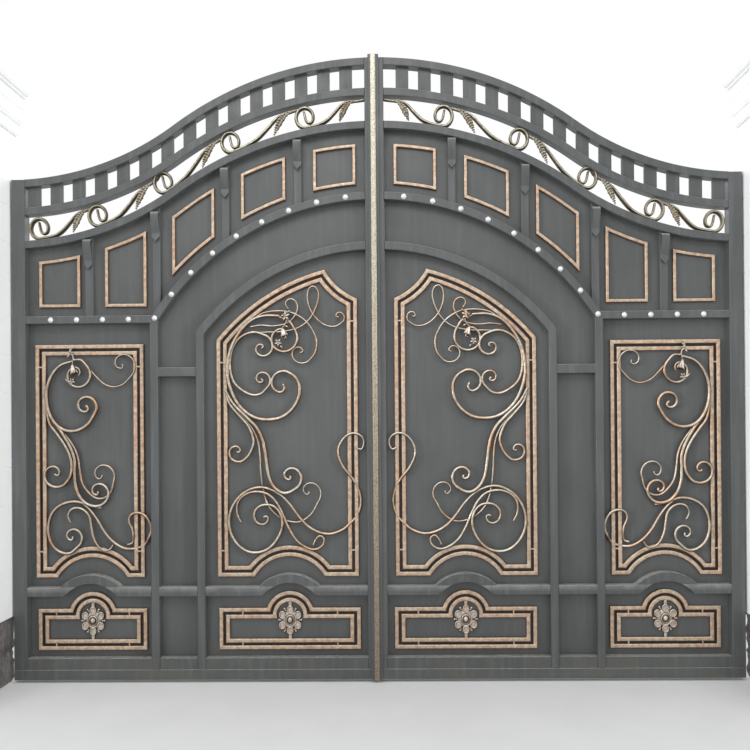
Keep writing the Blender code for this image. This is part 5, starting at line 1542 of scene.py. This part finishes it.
def blended(tree, share, shader, white, surface):
    """Link a surface to a shader that gives way to white by a share."""
    blend = tree.nodes.new("ShaderNodeMixShader")
    for source, socket in zip((share, shader.outputs[0], white.outputs[0]), blend.inputs):
        tree.links.new(source, socket)
    tree.links.new(blend.outputs[0], surface)


def floor():
    mesh = bpy.data.meshes.new("floor")
    corners = level_ring((GATE_X - FLOOR_HALF, -FLOOR_HALF), (GATE_X + FLOOR_HALF, FLOOR_HALF), 0.0)
    mesh.from_pydata(corners, [], [(0, 1, 2, 3)])
    made = Finish("pale_floor", 0.0, 0.9)
    made.shader.inputs["Specular IOR Level"].default_value = 0.1
    tone = made.ramp(made.noise(3.0, 6.0), (0.3, (0.80, 0.80, 0.80)), (0.7, (0.84, 0.84, 0.84)))
    made.feed(tone, made.shader.inputs["Base Color"])
    far = made.node("ShaderNodeVectorMath")
    far.operation = "DISTANCE"
    made.feed(made.place, far.inputs[0])
    far.inputs[1].default_value = (GATE_X, 0.0, 0.0)
    fade = made.ramp(made.times(far.outputs["Value"], 0.05), (0.22, 0.0), (0.60, 1.0))
    surface = made.tree.nodes["Material Output"].inputs["Surface"]
    share = made.times(fade, seen_rays(made.tree))
    blended(made.tree, share, made.shader, made.node("ShaderNodeEmission"), surface)
    mesh.materials.append(made.material)
    placed("floor", mesh)


def sky():
    world = bpy.data.worlds.new("pale_sky")
    bpy.context.scene.world = world
    world.use_nodes = True
    tree = world.node_tree
    light = tree.nodes["Background"]
    light.inputs["Color"].default_value = (0.97, 0.985, 1.0, 1.0)
    light.inputs["Strength"].default_value = SKY_STRENGTH
    white = tree.nodes.new("ShaderNodeBackground")
    white.inputs["Color"].default_value = (1.0, 1.0, 1.0, 1.0)
    blended(tree, seen_rays(tree), light, white, tree.nodes["World Output"].inputs["Surface"])


def lamp(name, kind, watts, place, target, **settings):
    data = bpy.data.lights.new(name, kind)
    data.energy = watts
    for key, value in settings.items():
        setattr(data, key, value)
    obj = placed(name, data)
    obj.location = place
    obj.rotation_euler = (Vector(target) - Vector(place)).to_track_quat("-Z", "Y").to_euler()


def soft_lamp(name, watts, place, target, size):
    lamp(name, "AREA", watts, place, target, shape="RECTANGLE", size=size[0], size_y=size[1])


def lamps():
    """Soft lamps over the front, the top and the rear, and a narrow one for each pier's inner face."""
    soft_lamp("key", KEY_WATTS, (GATE_X - 0.6, -2.9, 4.6), (GATE_X, GATE_Y, 2.2), (3.0, 1.6))
    for name, way in (("left", -1), ("right", 1)):
        target = (GATE_X - way * 2.0, -0.4, 1.6)
        cone = {"spot_size": SPOT_CONE, "spot_blend": 0.35, "shadow_soft_size": 0.8}
        lamp(f"{name}_side", "SPOT", SPOT_WATTS, (GATE_X + way * 4.6, -3.2, 2.0), target, **cone)
    soft_lamp("overhead", OVERHEAD_WATTS, (GATE_X, -0.9, 6.2), (GATE_X, 0.2, 0.0), (5.0, 1.2))
    soft_lamp("rear", REAR_WATTS, (GATE_X + 1.0, 5.0, 4.5), (GATE_X, GATE_Y, 1.4), (5.0, 3.0))


def camera():
    data = bpy.data.cameras.new("camera")
    data.lens = CAMERA_LENS
    data.sensor_width = 36.0
    data.shift_x, data.shift_y = CAMERA_SHIFT
    obj = placed("camera", data)
    aim = Matrix.Rotation(CAMERA_YAW, 4, "Z") @ Matrix.Rotation(math.pi / 2 + CAMERA_PITCH, 4, "X")
    obj.matrix_world = Matrix.Translation(CAMERA_AT) @ aim @ Matrix.Rotation(CAMERA_ROLL, 4, "Z")
    bpy.context.scene.camera = obj


def main():
    for title, side in (("left", -1), ("right", 1)):
        pier(title)
        hinge_bolts(title, side)
        refinished(f"{title}_hinge_post", FRAME_PAINT)
        leaf = build_leaf(title, side)
        if title == "left":
            cover_strip(leaf)
    floor()
    sky()
    lamps()
    camera()
    bpy.context.scene.view_settings.view_transform = "Standard"


main()
